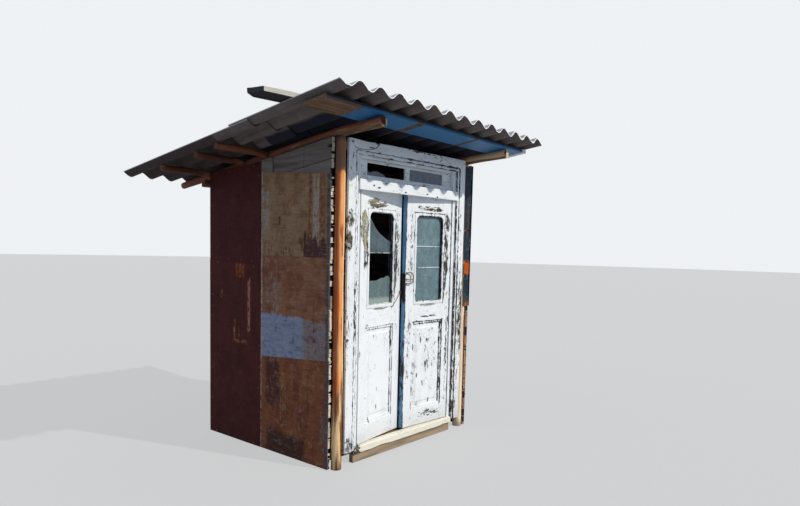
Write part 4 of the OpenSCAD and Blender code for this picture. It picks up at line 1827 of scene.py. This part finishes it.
    def right_cladding(self) -> None:
        """Makes the two sheets of the right wall."""
        navy = OldSheet(
            "navy_sheet",
            HUT,
            coat=(16, 42, 56),
            cloud=(12, 34, 48),
            rust=(92, 54, 36),
            runs=0.12,
            lines=0.2,
            stains=(
                Stain((178, 88, 44), (-0.02, 0.10, 1.34, 1.45), 0.95, 0.01, 0.02, 0.1),
                Stain((176, 104, 58), (-0.02, 0.10, 1.06, 1.11), 0.9, 0.01, 0.02, 0.3),
                Stain((170, 100, 58), (0.30, 0.42, 1.08, 1.30), 0.8, 0.02, 0.04, 0.4),
            ),
        )
        rust = OldSheet(
            "right_rust_sheet",
            HUT,
            coat=(126, 76, 48),
            cloud=(100, 56, 38),
            rust=(72, 40, 30),
            runs=0.4,
            lines=0.2,
        )
        front, rear = 0.0065, 1.443
        depths = ((rear, 0.032), (0.79, 0.08), (front, 0.08))
        top = [(front, 1.064), (rear, 1.064)]
        top += [(y, under_roof(HALF_WIDTH, y, depth)) for y, depth in depths]
        foot = [(0.0185, 0.007), (1.44, 0.007), (1.44, 1.057), (0.0185, 1.057)]
        self.cladding("right_top_cladding", Side.RIGHT, top, navy, 8, self.post_strips())
        self.cladding("right_bottom_cladding", Side.RIGHT, foot, rust, 9)

    def build(self) -> None:
        """Makes and dresses the walls."""
        self.side_wall(Side.LEFT)
        self.side_wall(Side.RIGHT)
        self.rear_wall()
        self.left_cladding()
        self.right_cladding()


@dataclass
class Floor:
    """Floor boards on bearers, and the sill in the doorway.

    Attributes:
        top: height of the floor's surface.
        thick: thickness of its boards.
    """

    top: float = 0.105
    thick: float = 0.025

    def build(self) -> None:
        """Makes and dresses the floor and the sill."""
        low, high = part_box("floor_boards")
        shift = HUT.matrix.translation
        x0, x1 = low.x - shift.x, high.x - shift.x
        y0, y1 = low.y - shift.y, high.y - shift.y
        rng = random.Random(71)
        piece = Piece("floor_board_set")
        x = x0
        while x < x1 - 0.02:
            wide = min(0.142 + rng.uniform(-0.02, 0.02), x1 - x)
            start = (x, y0 + rng.uniform(0.0, 0.004), self.top - self.thick)
            end = (x + wide - 0.003, y1, self.top)
            piece.add(board(start, end, Along.Y, 100 + int(x * 50), 0.0012), rng.random())
            x += wide
        piece.deliver(HUT, "hut", [FLOOR_WOOD], ["floor_boards"])
        piece = Piece("floor_bearer_set")
        for y in (0.18, 0.68, 1.18):
            solid = board((-0.796, y, 0.0015), (0.796, y + 0.07, 0.0785), Along.X, int(y * 100), 0.0014)
            piece.add(solid, rng.random())
        piece.deliver(HUT, "hut", [BATTEN], ["floor_bearers"])
        piece = Piece("sill_board")
        half = 0.5925
        upper = Solid.block((-half, -0.002, 0.064), (half, 0.066, 0.118)).slice(Along.X, 0.06)
        for vert in upper.bm.verts:
            if vert.co.z < 0.09:
                vert.co.z += 0.012 * max(0.0, swing(vert.co.x * 5.0, 3.0, 1.0)) + 0.004
            if vert.co.y < 0.0:
                vert.co.y += 0.004 * (1.0 + swing(vert.co.x * 9.0, 1.0, 2.0))
        piece.add(upper.ease(0.006, 3))
        lower = Solid.block((-half, 0.02, 0.001), (half, 0.058, 0.07)).slice(Along.X, 0.1)
        piece.add(lower.ruffle((0.0, 0.001, 0.0), 8.0, 4).ease(0.002), 0.5, 1)
        scuff = (Patch((-0.56, 0.09), (0.06, 0.1), 2.0),)
        cream = FlakedPaint(
            "cream_sill_paint",
            HUT,
            Along.X,
            coat=(240, 230, 208),
            stain=(204, 188, 160),
            wear=0.05,
            patches=scuff,
            bare=(110, 92, 74),
        )
        piece.deliver(HUT, "hut", [cream, DAMP_WOOD], ["threshold"])


@dataclass
class DoorFrame:
    """Mitred casings, jambs, the bar and the low sash over the door.

    Attributes:
        half: half the frame's width over its casings.
        foot: underside of the casings.
        top: top of the head casing.
        face: width of a casing's flat face.
        bead: width of the bead on its inner edge.
        thick: thickness of a casing.
        rims: outlines of the bead, where grime and painted shade lie.
    """

    half: float = 0.699
    foot: float = 0.095
    top: float = 2.3
    face: float = 0.076
    bead: float = 0.028
    thick: float = 0.022
    rims: tuple[Rim, ...] = ((-0.623, 0.623, -1.0, 2.224, 0.0), (-0.596, 0.596, -1.0, 2.197, 0.0))

    def strips(self) -> tuple[tuple[float, float, float, float, int], ...]:
        """Gives the flat face and the bead: from, to, front, rounding and the rounding's segments."""
        return (0.0, self.face, 0.0, 0.003, 2), (self.face, self.face + self.bead, 0.004, 0.007, 4)

    def side_casing(self, side: Side) -> None:
        """Makes an upright casing, mitred at its top."""
        sign = side.value
        piece = Piece(f"{side.word()}_casing_board")
        for x0, x1, y0, bevel, parts in self.strips():
            near, far = sign * (self.half - x0), sign * (self.half - x1)
            mitre = [(far, self.top - x1 - 0.003), (near, self.top - x0 - 0.003)]
            outline = [(near, self.foot), (far, self.foot), *mitre]
            solid = Solid.slab(outline, y0, self.thick, Along.Y).slice(Along.Z, 0.12)
            solid.ruffle((0.0008, 0.0, 0.0), 4.0, 130 + sign)
            piece.add(solid.ease(bevel, parts))
        if side is Side.LEFT:
            patches = (
                Patch((-0.672, 1.745), (0.05, 0.1), 2.4),
                Patch((-0.68, 1.6), (0.05, 0.1), 2.5),
                Patch((-0.685, 1.2), (0.03, 0.8), 0.5),
                Patch((-0.66, 0.15), (0.06, 0.09), 1.2),
                Patch((-0.69, 0.9), (0.02, 0.16), 0.5),
                Patch((-0.61, 1.25), (0.012, 0.6), 0.8),
            )
        else:
            patches = (
                Patch((0.603, 1.1), (0.009, 0.9), 1.0),
                Patch((0.66, 1.1), (0.06, 1.2), 0.9),
                Patch((0.61, 0.45), (0.012, 0.35), 0.8),
                Patch((0.648, 1.835), (0.012, 0.03), 2.4),
                Patch((0.665, 0.961), (0.01, 0.03), 2.4),
                Patch((0.62, 0.221), (0.03, 0.05), 2.0),
                Patch((0.69, 0.9), (0.02, 0.5), 1.2),
            )
        coat = FlakedPaint(
            f"{side.word()}_casing_paint",
            HUT,
            Along.Z,
            wear=0.2,
            patches=patches,
            muddy=0.35,
            rims=self.rims,
            rim_wear=1.0,
            dirt_and_shade=(96, 98, 106),
            second=(132, 122, 84),
            second_patches=(Patch((-0.67, 1.68), (0.1, 0.2), 1.2),),
            most=0.215,
        )
        piece.deliver(HUT, "hut", [coat], [f"{side.word()}_casing"])

    def head_casing(self) -> None:
        """Makes the level casing with its mitred ends and a broken upper corner."""
        piece = Piece("head_casing_board")
        for x0, x1, y0, bevel, parts in self.strips():
            outline = [
                (-self.half + x0, self.top - x0),
                (self.half - x0, self.top - x0),
                (self.half - x1, self.top - x1),
                (-self.half + x1, self.top - x1),
            ]
            solid = Solid.slab(outline, y0, self.thick, Along.Y).slice(Along.X, 0.045)
            if x0 == 0.0:
                for vert in solid.bm.verts:
                    if vert.co.z > self.top - 0.004:
                        chip = swing(vert.co.x * 14.0, 2.0, 5.0)
                        near = max(0.0, 1.0 - abs(vert.co.x + 0.5) / 0.22)
                        vert.co.z -= 0.0015 + 0.006 * max(0.0, chip) + 0.014 * near * max(0.2, chip + 0.5)
            piece.add(solid.ease(bevel, parts))
        coat = FlakedPaint(
            "head_casing_paint",
            HUT,
            Along.X,
            wear=0.25,
            patches=(
                Patch((-0.47, 2.255), (0.06, 0.008), 1.8),
                Patch((-0.67, 2.27), (0.03, 0.016), 2.4),
                Patch((-0.41, 2.29), (0.03, 0.016), 2.0),
                Patch((0.1, 2.29), (0.4, 0.012), 1.2),
            ),
            rims=self.rims,
            rim_wear=0.8,
            dirt_and_shade=(110, 114, 124),
            # A painted shadow under lifted paint at the upper left.
            bow=(-0.56, 2.298, 0.165, 0.064),
        )
        piece.deliver(HUT, "hut", [coat], ["head_casing"])

    def inner_frame(self) -> None:
        """Makes jambs, head and the bar with its lip."""
        piece = Piece("jamb_boards")
        top = 2.1755
        for sign in (-1, 1):
            a, b = sorted((sign * 0.5585, sign * 0.6285))
            piece.add(Solid.block((a, 0.0225, 0.1185), (b, 0.0635, top)).slice(Along.Z, 0.2).ease(0.0015))
            piece.add(Solid.block((a, 0.0635, 1.976), (b, 0.0945, top)).ease(0.0015))
        piece.deliver(HUT, "hut", [JAMB_PAINT], ["door_jambs"])
        piece = Piece("frame_head_board")
        head = Solid.block((-0.6285, 0.0225, 2.177), (0.6285, 0.0675, 2.213))
        piece.add(head.slice(Along.X, 0.2).ease(0.0015))
        level = FlakedPaint("level_paint", HUT, Along.X, wear=0.3)
        piece.deliver(HUT, "hut", [level], ["frame_head"])
        piece = Piece("bar_and_lip")
        piece.add(Solid.block((-0.558, 0.014, 1.975), (0.558, 0.094, 2.029)).slice(Along.X, 0.2).ease(0.002))
        lip = Solid.block((-0.5935, -0.008, 1.955), (0.5935, 0.016, 2.03)).slice(Along.X, 0.08)
        piece.add(lip.ruffle((0.0, 0.0006, 0.0012), 6.0, 9).ease(0.005, 3))
        specks = ((-0.452, 1.994), (-0.395, 1.982), (-0.1, 1.968), (0.168, 1.975), (0.3, 1.965))
        lip_paint = FlakedPaint(
            "bar_paint",
            HUT,
            Along.X,
            wear=0.02,
            patches=tuple(Patch(spot, (0.016, 0.009), 5.0) for spot in specks),
            most=0.5,
        )
        piece.deliver(HUT, "hut", [lip_paint], ["transom_bar"])

    def sash(self) -> None:
        """Makes the low sash, its stops and what is left of its glass."""
        piece = Piece("transom_sash_frame")
        y0, y1 = 0.055, 0.083
        z0, z1 = 2.062, 2.167
        half, light, bar = 0.5575, 0.46, 0.02
        for low, high in ((2.0305, z0), (z1, 2.176)):
            piece.add(Solid.block((-half, y0, low), (half, y1, high)).slice(Along.X, 0.2).ease(0.003, 2))
        for a, b in ((-half, -light), (-bar, bar), (light, half)):
            piece.add(Solid.block((a, y0 + 0.0005, 2.0615), (b, y1 - 0.0005, 2.1675)).ease(0.003, 2))
        for a, b in ((-light, -bar), (bar, light)):
            outer = rectangle(a, z0, b, z1)
            inner = rectangle(a + 0.009, 2.071, b - 0.009, 2.158)
            piece.add(Solid.frame(outer, inner, y0 + 0.007, y0 + 0.012).ease(0.002, 2))
        coat = FlakedPaint("sash_paint", HUT, Along.X, wear=0.22)
        piece.deliver(HUT, "hut", [coat], ["transom_sash"])
        piece = Piece("transom_panes")
        whole = rectangle(0.0215, 2.0635, 0.4585, 2.1655)
        shard = [
            (-0.459, 2.0635), (-0.236, 2.0635), (-0.246, 2.074), (-0.262, 2.085), (-0.285, 2.094),
            (-0.312, 2.101), (-0.345, 2.107), (-0.37, 2.106), (-0.392, 2.1), (-0.41, 2.092),
            (-0.43, 2.0955), (-0.459, 2.104),
        ]
        for outline in (whole, shard):
            piece.add(Solid.slab(outline, y0 + 0.0125, y0 + 0.0155, Along.Y).ease(0.0006))
        glass = DustyGlass("transom_dusty_glass", HUT, dust_and_sky_tint=(84, 104, 124), clear=0.4, low=1.9)
        piece.deliver(HUT, "hut", [glass], ["transom_glass"])

    def build(self) -> None:
        """Makes and dresses the door frame."""
        self.side_casing(Side.LEFT)
        self.side_casing(Side.RIGHT)
        self.head_casing()
        self.inner_frame()
        self.sash()


@dataclass
class DoorLeaf:
    """A framed leaf with a glazed light over a panel, drawn from its hinge edge.

    Attributes:
        side: which leaf it is.
        width: width of the leaf.
        thick: its thickness.
        low: its underside.
        high: its top.
        light: left, foot, right and top of its glazed light.
        panel: left, foot, right and top of its panel.
        corner: radius of the light's upper corners.
    """

    side: Side
    width: float = 0.5475
    thick: float = 0.04
    low: float = 0.125
    high: float = 1.968
    light: tuple[float, float, float, float] = (0.112, 1.135, 0.427, 1.81)
    panel: tuple[float, float, float, float] = (0.09, 0.26, 0.449, 0.968)
    corner: float = 0.045

    def arch(self, grow: float, square: bool = False, steps: int = 8) -> list[Flat]:
        """Gives the light's outline, grown all round, its upper corners round or square."""
        x0, z0, x1, z1 = self.light
        r = self.corner + grow
        x0, z0, x1, z1 = x0 - grow, z0 - grow, x1 + grow, z1 + grow
        line = [(x0, z0), (x1, z0)]
        for first, middle in ((0.0, x1 - r), (1.0, x0 + r)):
            for i in range(steps + 1):
                a = math.pi / 2 * (first + i / steps)
                far = r / max(abs(math.cos(a)), abs(math.sin(a))) if square else r
                line.append((middle + far * math.cos(a), z1 - r + far * math.sin(a)))
        return line

    def rect(self, shrink: float) -> list[Flat]:
        """Gives the panel's outline, shrunk all round."""
        x0, z0, x1, z1 = self.panel
        return rectangle(x0 + shrink, z0 + shrink, x1 - shrink, z1 - shrink)

    def paints(self) -> list[Finish]:
        """Gives upright paint, level paint, the blue of edge and back, and the painted-shade wood of the
        light's far side and top.
        """
        site = leaf_site(self.side)
        word = self.side.word()
        ring, field, inner = (0.453, 0.449, 0.431) if self.side is Side.LEFT else (0.086, 0.09, 0.108)
        rims: tuple[Rim, ...] = (
            (0.086, 0.453, 1.836, 1.836, 0.0),
            (ring, ring, 1.109, 1.836, 0.0),
            (0.113, 0.426, 1.136, 1.809, 0.044),
            (0.09, 0.449, 0.968, 0.968, 0.0),
            (0.11, 0.431, 0.95, 0.95, 0.0),
            (field, field, 0.26, 0.968, 0.0),
            (inner, inner, 0.278, 0.95, 0.0),
        )
        dirt_and_shade: Rgb = (150, 150, 160)
        if self.side is Side.LEFT:
            patches = (
                Patch((0.22, 1.875), (0.24, 0.05), 2.4),
                Patch((0.045, 1.7), (0.07, 0.17), 4.0),
                Patch((0.07, 1.53), (0.036, 0.17), 4.0),
                Patch((0.5, 1.55), (0.07, 0.45), 1.1),
                Patch((0.46, 1.42), (0.038, 0.5), 1.8),
                Patch((0.26, 1.098), (0.18, 0.012), 2.2),
                Patch((0.101, 0.986), (0.02, 0.014), 3.0),
                Patch((0.01, 0.79), (0.016, 0.06), 1.8),
                Patch((0.24, 0.45), (0.02, 0.2), 0.45),
                Patch((0.25, 0.75), (0.14, 0.2), -0.6),
            )
            marks = (
                (0.225, 0.662), (0.25, 0.494), (0.246, 0.353), (0.437, 0.82), (0.144, 0.276), (0.421, 1.69),
                (0.484, 1.648), (0.517, 1.361),
            )
            fresh = (
                Patch((0.22, 1.9), (0.3, 0.06), 1.3),
                Patch((0.055, 1.68), (0.1, 0.3), 1.3),
                Patch((0.26, 1.1), (0.22, 0.03), 1.8),
            )
            wear, rim_wear, most = 0.06, 0.6, 0.215
        else:
            # The right leaf's outlines, its upright edges among them, take dark grime and painted shade.
            dirt_and_shade = (56, 56, 60)
            rims += (
                (0.001, 0.001, 0.127, 1.967, 0.0),
                (0.546, 0.546, 0.127, 1.967, 0.0),
                (0.449, 0.449, 0.26, 0.5, 0.0),
            )
            patches = (
                Patch((0.27, 1.872), (0.22, 0.03), 2.8),
                Patch((0.05, 1.77), (0.06, 0.09), 2.6),
                Patch((0.05, 1.5), (0.05, 0.45), 1.1),
                Patch((0.075, 1.45), (0.035, 0.5), 1.9),
                Patch((0.49, 1.55), (0.06, 0.45), 0.9),
                Patch((0.27, 1.098), (0.18, 0.012), 3.0),
                Patch((0.27, 1.007), (0.16, 0.012), 2.0),
                Patch((0.42, 0.55), (0.05, 0.4), 0.9),
                Patch((0.25, 0.6), (0.14, 0.32), 0.8),
                Patch((0.24, 0.2), (0.27, 0.05), 1.0),
                Patch((0.03, 0.7), (0.03, 0.7), 1.2),
                Patch((0.5, 0.7), (0.05, 0.5), 0.7),
            )
            marks = (
                (0.44, 0.767), (0.426, 0.382), (0.339, 0.815), (0.283, 0.751), (0.379, 0.528), (0.307, 0.459),
                (0.277, 0.609), (0.092, 0.55), (0.449, 0.548), (0.499, 0.544), (0.107, 0.467), (0.229, 0.303),
                (0.371, 0.303),
            )
            fresh = (Patch((0.27, 1.1), (0.24, 0.03), 1.4),)
            wear, rim_wear, most = 0.14, 1.1, 0.2
        patches += tuple(Patch(mark, (0.01, 0.034), 3.4) for mark in marks)
        both = dict(
            wear=wear,
            patches=patches,
            second_patches=fresh,
            muddy=0.3,
            rims=rims,
            rim_wear=rim_wear,
            dirt_and_shade=dirt_and_shade,
            most=most,
        )
        return [
            FlakedPaint(f"{word}_leaf_upright_paint", site, Along.Z, **both),
            FlakedPaint(f"{word}_leaf_level_paint", site, Along.X, **both),
            FlakedPaint(
                f"{word}_leaf_blue_paint",
                site,
                Along.Z,
                coat=(94, 146, 182),
                stain=(130, 168, 186),
                wear=0.3,
                patches=(Patch((0.54, 0.6), (0.3, 0.6), 0.8), Patch((0.54, 1.245), (0.3, 0.15), 3.2)),
                bare=(84, 100, 114),
                second=(44, 42, 42),
                second_patches=(Patch((0.54, 1.245), (0.3, 0.2), 3.0),),
                muddy=1.4,
                mud=(96, 150, 178),
                most=0.42,
            ),
            SHADE_WOOD,
        ]

    def timber(self) -> None:
        """Makes stiles, rails, mouldings and the panel."""
        x0, z0, x1, z1 = self.light
        px0, pz0, px1, pz1 = self.panel
        w, t, low, high = self.width, self.thick, self.low, self.high
        word = self.side.word()
        piece = Piece(f"{word}_leaf_timber")
        hinge_stile = [(0.0, low), (px0, low), (px0, pz1), (x0, pz1), (x0, high), (0.0, high)]
        lock_stile = [(px1, low), (w, low), (w, high), (x1, high), (x1, pz1), (px1, pz1)]
        for outline in (hinge_stile, lock_stile):
            piece.add(Solid.slab(outline, 0.0, t, Along.Y).slice(Along.Z, 0.15).ease(0.0022, 2))
        arc = self.arch(0.0)[2:]
        spring = z1 - self.corner
        top_rail = [(x1, high), (x0, high), (x0, spring), *arc[::-1][1:-1], (x1, spring)]
        piece.add(Solid.slab(top_rail, 0.0006, t - 0.0006, Along.Y).ease(0.0015, 1, 50.0), 0.4, 1)
        for a, b, c, d in ((x0, pz1, x1, z0), (px0, low, px1, pz0)):
            rail = Solid.block((a, 0.0006, b), (c, t - 0.0006, d))
            piece.add(rail.slice(Along.X, 0.1).ease(0.0022, 2), 0.6, 1)
        ring = Solid.frame(self.arch(0.026, True), self.arch(0.002), -0.005, 0.002)
        piece.add(ring.ease(0.0036, 3, 60.0).smooth(), 0.5, 0)
        stop = Solid.frame(self.arch(0.001), self.arch(-0.003), 0.014, 0.0205)
        piece.add(stop.ease(0.001, 1, 60.0), 0.5, 0)
        ring = Solid.frame(self.rect(-0.0005), self.rect(0.018), 0.005, 0.0135)
        piece.add(ring.ease(0.0035, 3).smooth(), 0.5, 0)
        field = Solid.slab(self.rect(0.0), 0.013, 0.026, Along.Y)
        front = [f for f in field.bm.faces if f.calc_center_median().y < 0.0131 and f.calc_area() > 0.1]
        for depth, drop in ((0.045, 0.0), (0.012, -0.005)):
            bmesh.ops.inset_region(field.bm, faces=front, thickness=depth, use_even_offset=True)
            for vert in {v for f in front for v in f.verts}:
                vert.co.y += drop
        piece.add(field)
        piece.dye(2, lambda f: f.normal.x > 0.7 and f.calc_center_median().x > w - 0.003)
        piece.dye(2, lambda f: f.normal.y > 0.7 and f.calc_center_median().y > 0.02)
        far = x1 if self.side is Side.LEFT else x0

        def reveal(face: bmesh.types.BMFace) -> bool:
            """Says if a face is of the light's far side or top, which take painted shade."""
            spot = face.calc_center_median()
            aside = abs(spot.x - far) < 0.006 and abs(face.normal.x) > 0.5
            above = spot.z > spring and face.normal.z < -0.3 and x0 < spot.x < x1
            return 0.003 < spot.y < 0.021 and z0 + 0.01 < spot.z < z1 + 0.003 and (aside or above)

        # The light's far side and top take painted shade.
        piece.dye(3, reveal)
        site = leaf_site(self.side)
        piece.deliver(site, f"{word}_door", self.paints(), [f"{word}_leaf"])

    def panes(self) -> None:
        """Makes what is left of the glass."""
        site = leaf_site(self.side)
        left, low, right, _ = self.light
        lap = 0.007
        x0, z0, x1 = left - lap, low - lap, right + lap
        y0, y1 = 0.0212, 0.0242
        if self.side is Side.LEFT:
            upper = [
                (x0, 1.514), (x1, 1.511), (x1, 1.594), (0.418, 1.603), (0.38, 1.613), (0.33, 1.634),
                (0.285, 1.655), (0.237, 1.683), (0.205, 1.71), (0.18, 1.738), (0.155, 1.768),
                (0.133, 1.79), (0.118, 1.8), (x0, 1.79),
            ]
            lower = [
                (x0, z0), (x1, z0), (x1, 1.312), (0.43, 1.32), (0.414, 1.334), (0.399, 1.341),
                (0.37, 1.337), (0.34, 1.326), (0.31, 1.3285), (0.27, 1.316), (0.234, 1.309),
                (0.18, 1.311), (0.14, 1.305), (x0, 1.307),
            ]
            for word, outline, dust_and_sky_tint in (("upper", upper, (74, 94, 98)), ("lower", lower, (104, 124, 124))):
                glass = DustyGlass(f"left_{word}_dusty_glass", site, dust_and_sky_tint, clear=0.3, laps=(1.513,))
                piece = Piece(f"left_{word}_shard")
                piece.add(Solid.slab(outline, y0, y1, Along.Y).ease(0.0006, 1, 60.0))
                piece.deliver(site, "left_door", [glass], [f"left_{word}_glass"])
            return
        piece = Piece("right_panes")
        arc = self.arch(lap)[2:]
        rows = [
            rectangle(x0, z0, x1, 1.3968),
            rectangle(x0, 1.3972, x1, 1.5668),
            [(x0, 1.5672), (x1, 1.5672), *arc],
        ]
        for i, outline in enumerate(rows):
            shift = 0.0004 * (i % 2)
            piece.add(Solid.slab(outline, y0 + shift, y1 + shift, Along.Y).ease(0.0006, 1, 60.0), 0.3 * i)
        glass = DustyGlass(
            "right_dusty_glass",
            site,
            dust_and_sky_tint=(110, 134, 138),
            clear=0.25,
            low=0.9,
            laps=(1.4, 1.57),
        )
        piece.deliver(site, "right_door", [glass], ["right_glass"])

    def build(self) -> None:
        """Makes and dresses the leaf."""
        self.timber()
        self.panes()


@dataclass
class Fittings:
    """Wire hook, pull and hinges.

    Attributes:
        wire: radius of the hook's wire.
        rod: radius of the pull's rod.
    """

    wire: float = 0.0024
    rod: float = 0.004

    def hook(self) -> None:
        """Makes the wire hook with its eye and the ring that it drops into."""
        piece = Piece("wire_hook")
        x, z, reach, steps = 0.421, 1.103, 0.113, 12
        eye = [(x, y, z) for y in (0.001, -0.006, -0.0115)]
        piece.add(Solid.rod(eye, [0.0033, 0.0026, 0.0034], 12))
        path = []
        for i in range(steps + 1):
            t = i / steps
            path.append((x + reach * t, -0.0095 - 0.003 * t, z + reach * t - 0.006 * math.sin(math.pi * t)))
        path += [(0.537, -0.0125, 1.2165), (0.5378, -0.012, 1.211)]
        path += [(0.5368, -0.011, 1.2), (0.536, -0.01, 1.196)]
        piece.add(Solid.rod(path, [self.wire] * len(path), 10))
        x, z = 0.53, 1.211
        turns = [math.pi * k / 6 for k in range(-1, 12)]
        ring = [(x + 0.006 * math.cos(turn), -0.006, z + 0.009 * math.sin(turn)) for turn in turns]
        piece.add(Solid.rod(ring, [0.0018] * len(ring), 8))
        shank = [(x, 0.001, z), (x, -0.006, 1.2095), (x, -0.0085, 1.208)]
        piece.add(Solid.rod(shank, [0.0042, 0.0036, 0.002], 10))
        piece.deliver(leaf_site(Side.LEFT), "left_door", [IRON], ["door_hook"])

    def pull(self) -> None:
        """Makes the pull, bent from one rod."""
        piece = Piece("bent_pull")
        x, low, middle, high = 0.533, 1.277, 1.312, 1.361
        bow = [
            (x, 0.001, high), (x, -0.013, high), (0.522, -0.0165, 1.3655), (0.506, -0.017, 1.3665),
            (0.49, -0.018, 1.36), (0.48, -0.018, 1.348), (0.4755, -0.018, 1.33), (0.4755, -0.018, 1.314),
            (0.48, -0.018, 1.296), (0.49, -0.0175, 1.2835), (0.508, -0.0165, 1.279),
            (0.524, -0.0155, 1.2775), (x, -0.012, low), (x, 0.001, low),
        ]
        piece.add(Solid.rod(bow, [self.rod] * len(bow), 12))
        bar = [(0.477, -0.018, middle), (0.505, -0.0175, 1.313), (0.527, -0.0165, 1.3125)]
        bar += [(x, -0.012, middle), (x, 0.001, middle)]
        piece.add(Solid.rod(bar, [0.0034] * len(bar), 12))
        for z in (low, middle, high):
            piece.add(Solid.rod([(x, 0.0005, z), (x, -0.0012, z)], [0.0085, 0.0075], 14))
        piece.deliver(leaf_site(Side.RIGHT), "right_door", [IRON], ["door_handle"])

    def hinges(self) -> None:
        """Gives the frame's hinge solids their rust."""
        for node in ("frame_hinges", "left_leaf_hinges", "right_leaf_hinges"):
            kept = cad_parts[node]
            kept.data.materials.clear()
            kept.data.materials.append(IRON.material())

    def build(self) -> None:
        """Makes and dresses the fittings."""
        self.hook()
        self.pull()
        self.hinges()


@dataclass
class Studio:
    """Plain floor, soft light and the camera at the photograph's angle.

    Attributes:
        eye: the camera's place.
        yaw: its heading to the right of straight ahead.
        pitch: its tilt, less than 0 for down.
        roll: its lean.
        lens: its focal length on a frame 36 mm wide.
        shift: how far the picture's middle lies off the lens's axis, in picture widths.
    """

    eye: Point = (-3.851, -3.1011, 1.5777)
    yaw: float = 0.876598
    pitch: float = -0.085828
    roll: float = -0.023756
    lens: float = 28.805
    shift: float = 47.02 / 800.0

    def seen(self, tree: bpy.types.NodeTree, amount: float) -> Socket:
        """Gives an amount to what the camera, gloss and glass see, and 0 to the rest."""
        path = tree.nodes.new("ShaderNodeLightPath")
        total = path.outputs["Is Camera Ray"]
        for word in ("Is Glossy Ray", "Is Transmission Ray"):
            share = tree.nodes.new("ShaderNodeMath")
            share.operation = "MAXIMUM"
            tree.links.new(total, share.inputs[0])
            tree.links.new(path.outputs[word], share.inputs[1])
            total = share.outputs[0]
        scaled = tree.nodes.new("ShaderNodeMath")
        scaled.operation = "MULTIPLY"
        tree.links.new(total, scaled.inputs[0])
        scaled.inputs[1].default_value = amount
        return scaled.outputs[0]

    def plain(self, name: str, colour: float, amount: float) -> bpy.types.Material:
        """Makes a matt material that shows as an even pale tone to the camera.

        Args:
            name: the material's name.
            colour: the grey that takes light and shadow.
            amount: share of an even white mixed in for camera, gloss and glass.

        Returns:
            The material.
        """
        result = bpy.data.materials.new(name)
        result.use_nodes = True
        tree = result.node_tree
        shader = tree.nodes["Principled BSDF"]
        shader.inputs["Base Color"].default_value = (colour, colour, colour, 1.0)
        shader.inputs["Roughness"].default_value = 0.95
        glow = tree.nodes.new("ShaderNodeEmission")
        glow.inputs["Color"].default_value = (0.86, 0.86, 0.85, 1.0)
        mix = tree.nodes.new("ShaderNodeMixShader")
        tree.links.new(self.seen(tree, amount), mix.inputs[0])
        tree.links.new(shader.outputs["BSDF"], mix.inputs[1])
        tree.links.new(glow.outputs[0], mix.inputs[2])
        tree.links.new(mix.outputs[0], tree.nodes["Material Output"].inputs["Surface"])
        return result

    def floor(self) -> None:
        """Lays a wide pale floor."""
        bm = bmesh.new()
        bmesh.ops.create_circle(bm, cap_ends=True, segments=96, radius=60.0)
        mesh = bpy.data.meshes.new("studio_floor")
        bm.to_mesh(mesh)
        bm.free()
        mesh.materials.append(self.plain("studio_floor", 0.3, 0.6))
        made = bpy.data.objects.new("studio_floor", mesh)
        bpy.context.scene.collection.objects.link(made)

    def world(self) -> None:
        """Sets an even sky, and a paler tone where it is seen directly."""
        world = bpy.data.worlds.new("studio")
        world.use_nodes = True
        tree = world.node_tree
        ambient = tree.nodes["Background"]
        ambient.inputs["Color"].default_value = (0.66, 0.93, 1.36, 1.0)
        ambient.inputs["Strength"].default_value = 0.42
        seen = tree.nodes.new("ShaderNodeBackground")
        seen.inputs["Color"].default_value = (0.86, 0.88, 0.90, 1.0)
        seen.inputs["Strength"].default_value = 1.0
        mix = tree.nodes.new("ShaderNodeMixShader")
        tree.links.new(self.seen(tree, 1.0), mix.inputs[0])
        tree.links.new(ambient.outputs[0], mix.inputs[1])
        tree.links.new(seen.outputs[0], mix.inputs[2])
        tree.links.new(mix.outputs[0], tree.nodes["World Output"].inputs["Surface"])
        bpy.context.scene.world = world

    def lamps(self) -> None:
        """Hangs a soft key in front, high and a little to the right."""
        key = bpy.data.lights.new("key", "SUN")
        key.energy = 2.78
        key.angle = 0.02
        key.color = (1.0, 0.97, 0.91)
        lamp = bpy.data.objects.new("key", key)
        lamp.rotation_mode = "QUATERNION"
        lamp.rotation_quaternion = Vector((0.26, -0.745, 0.655)).to_track_quat("Z", "Y")
        bpy.context.scene.collection.objects.link(lamp)

    def camera(self) -> None:
        """Sets the camera up as it stood for the photograph."""
        level = math.cos(self.pitch)
        ahead = Vector((math.sin(self.yaw) * level, math.cos(self.yaw) * level, math.sin(self.pitch)))
        right = Vector((math.cos(self.yaw), -math.sin(self.yaw), 0.0))
        down = ahead.cross(right)
        across = math.cos(self.roll) * right + math.sin(self.roll) * down
        below = -math.sin(self.roll) * right + math.cos(self.roll) * down
        turn = Matrix((across, -below, -ahead)).transposed()
        data = bpy.data.cameras.new("photo_camera")
        data.lens = self.lens
        data.sensor_width = 36.0
        data.sensor_fit = "HORIZONTAL"
        data.shift_y = self.shift
        data.clip_end = 200.0
        camera = bpy.data.objects.new("photo_camera", data)
        camera.matrix_world = Matrix.Translation(HUT.matrix @ Vector(self.eye)) @ turn.to_4x4()
        bpy.context.scene.collection.objects.link(camera)
        bpy.context.scene.camera = camera

    def build(self) -> None:
        """Sets the studio up."""
        self.floor()
        self.world()
        self.lamps()
        self.camera()
        bpy.context.scene.view_settings.view_transform = "Standard"


def main() -> None:
    """Builds every sub-assembly in order."""
    logging.basicConfig(level=logging.INFO, format="%(message)s")
    # The clock seeds the vector noise unless this does.
    noise.seed_set(NOISE_SEED)
    Studio().build()
    PoleFrame().build()
    RoofCover().build()
    BoardWalls().build()
    Floor().build()
    DoorFrame().build()
    for side in Side:
        DoorLeaf(side).build()
    Fittings().build()


if __name__ == "__main__":
    main()
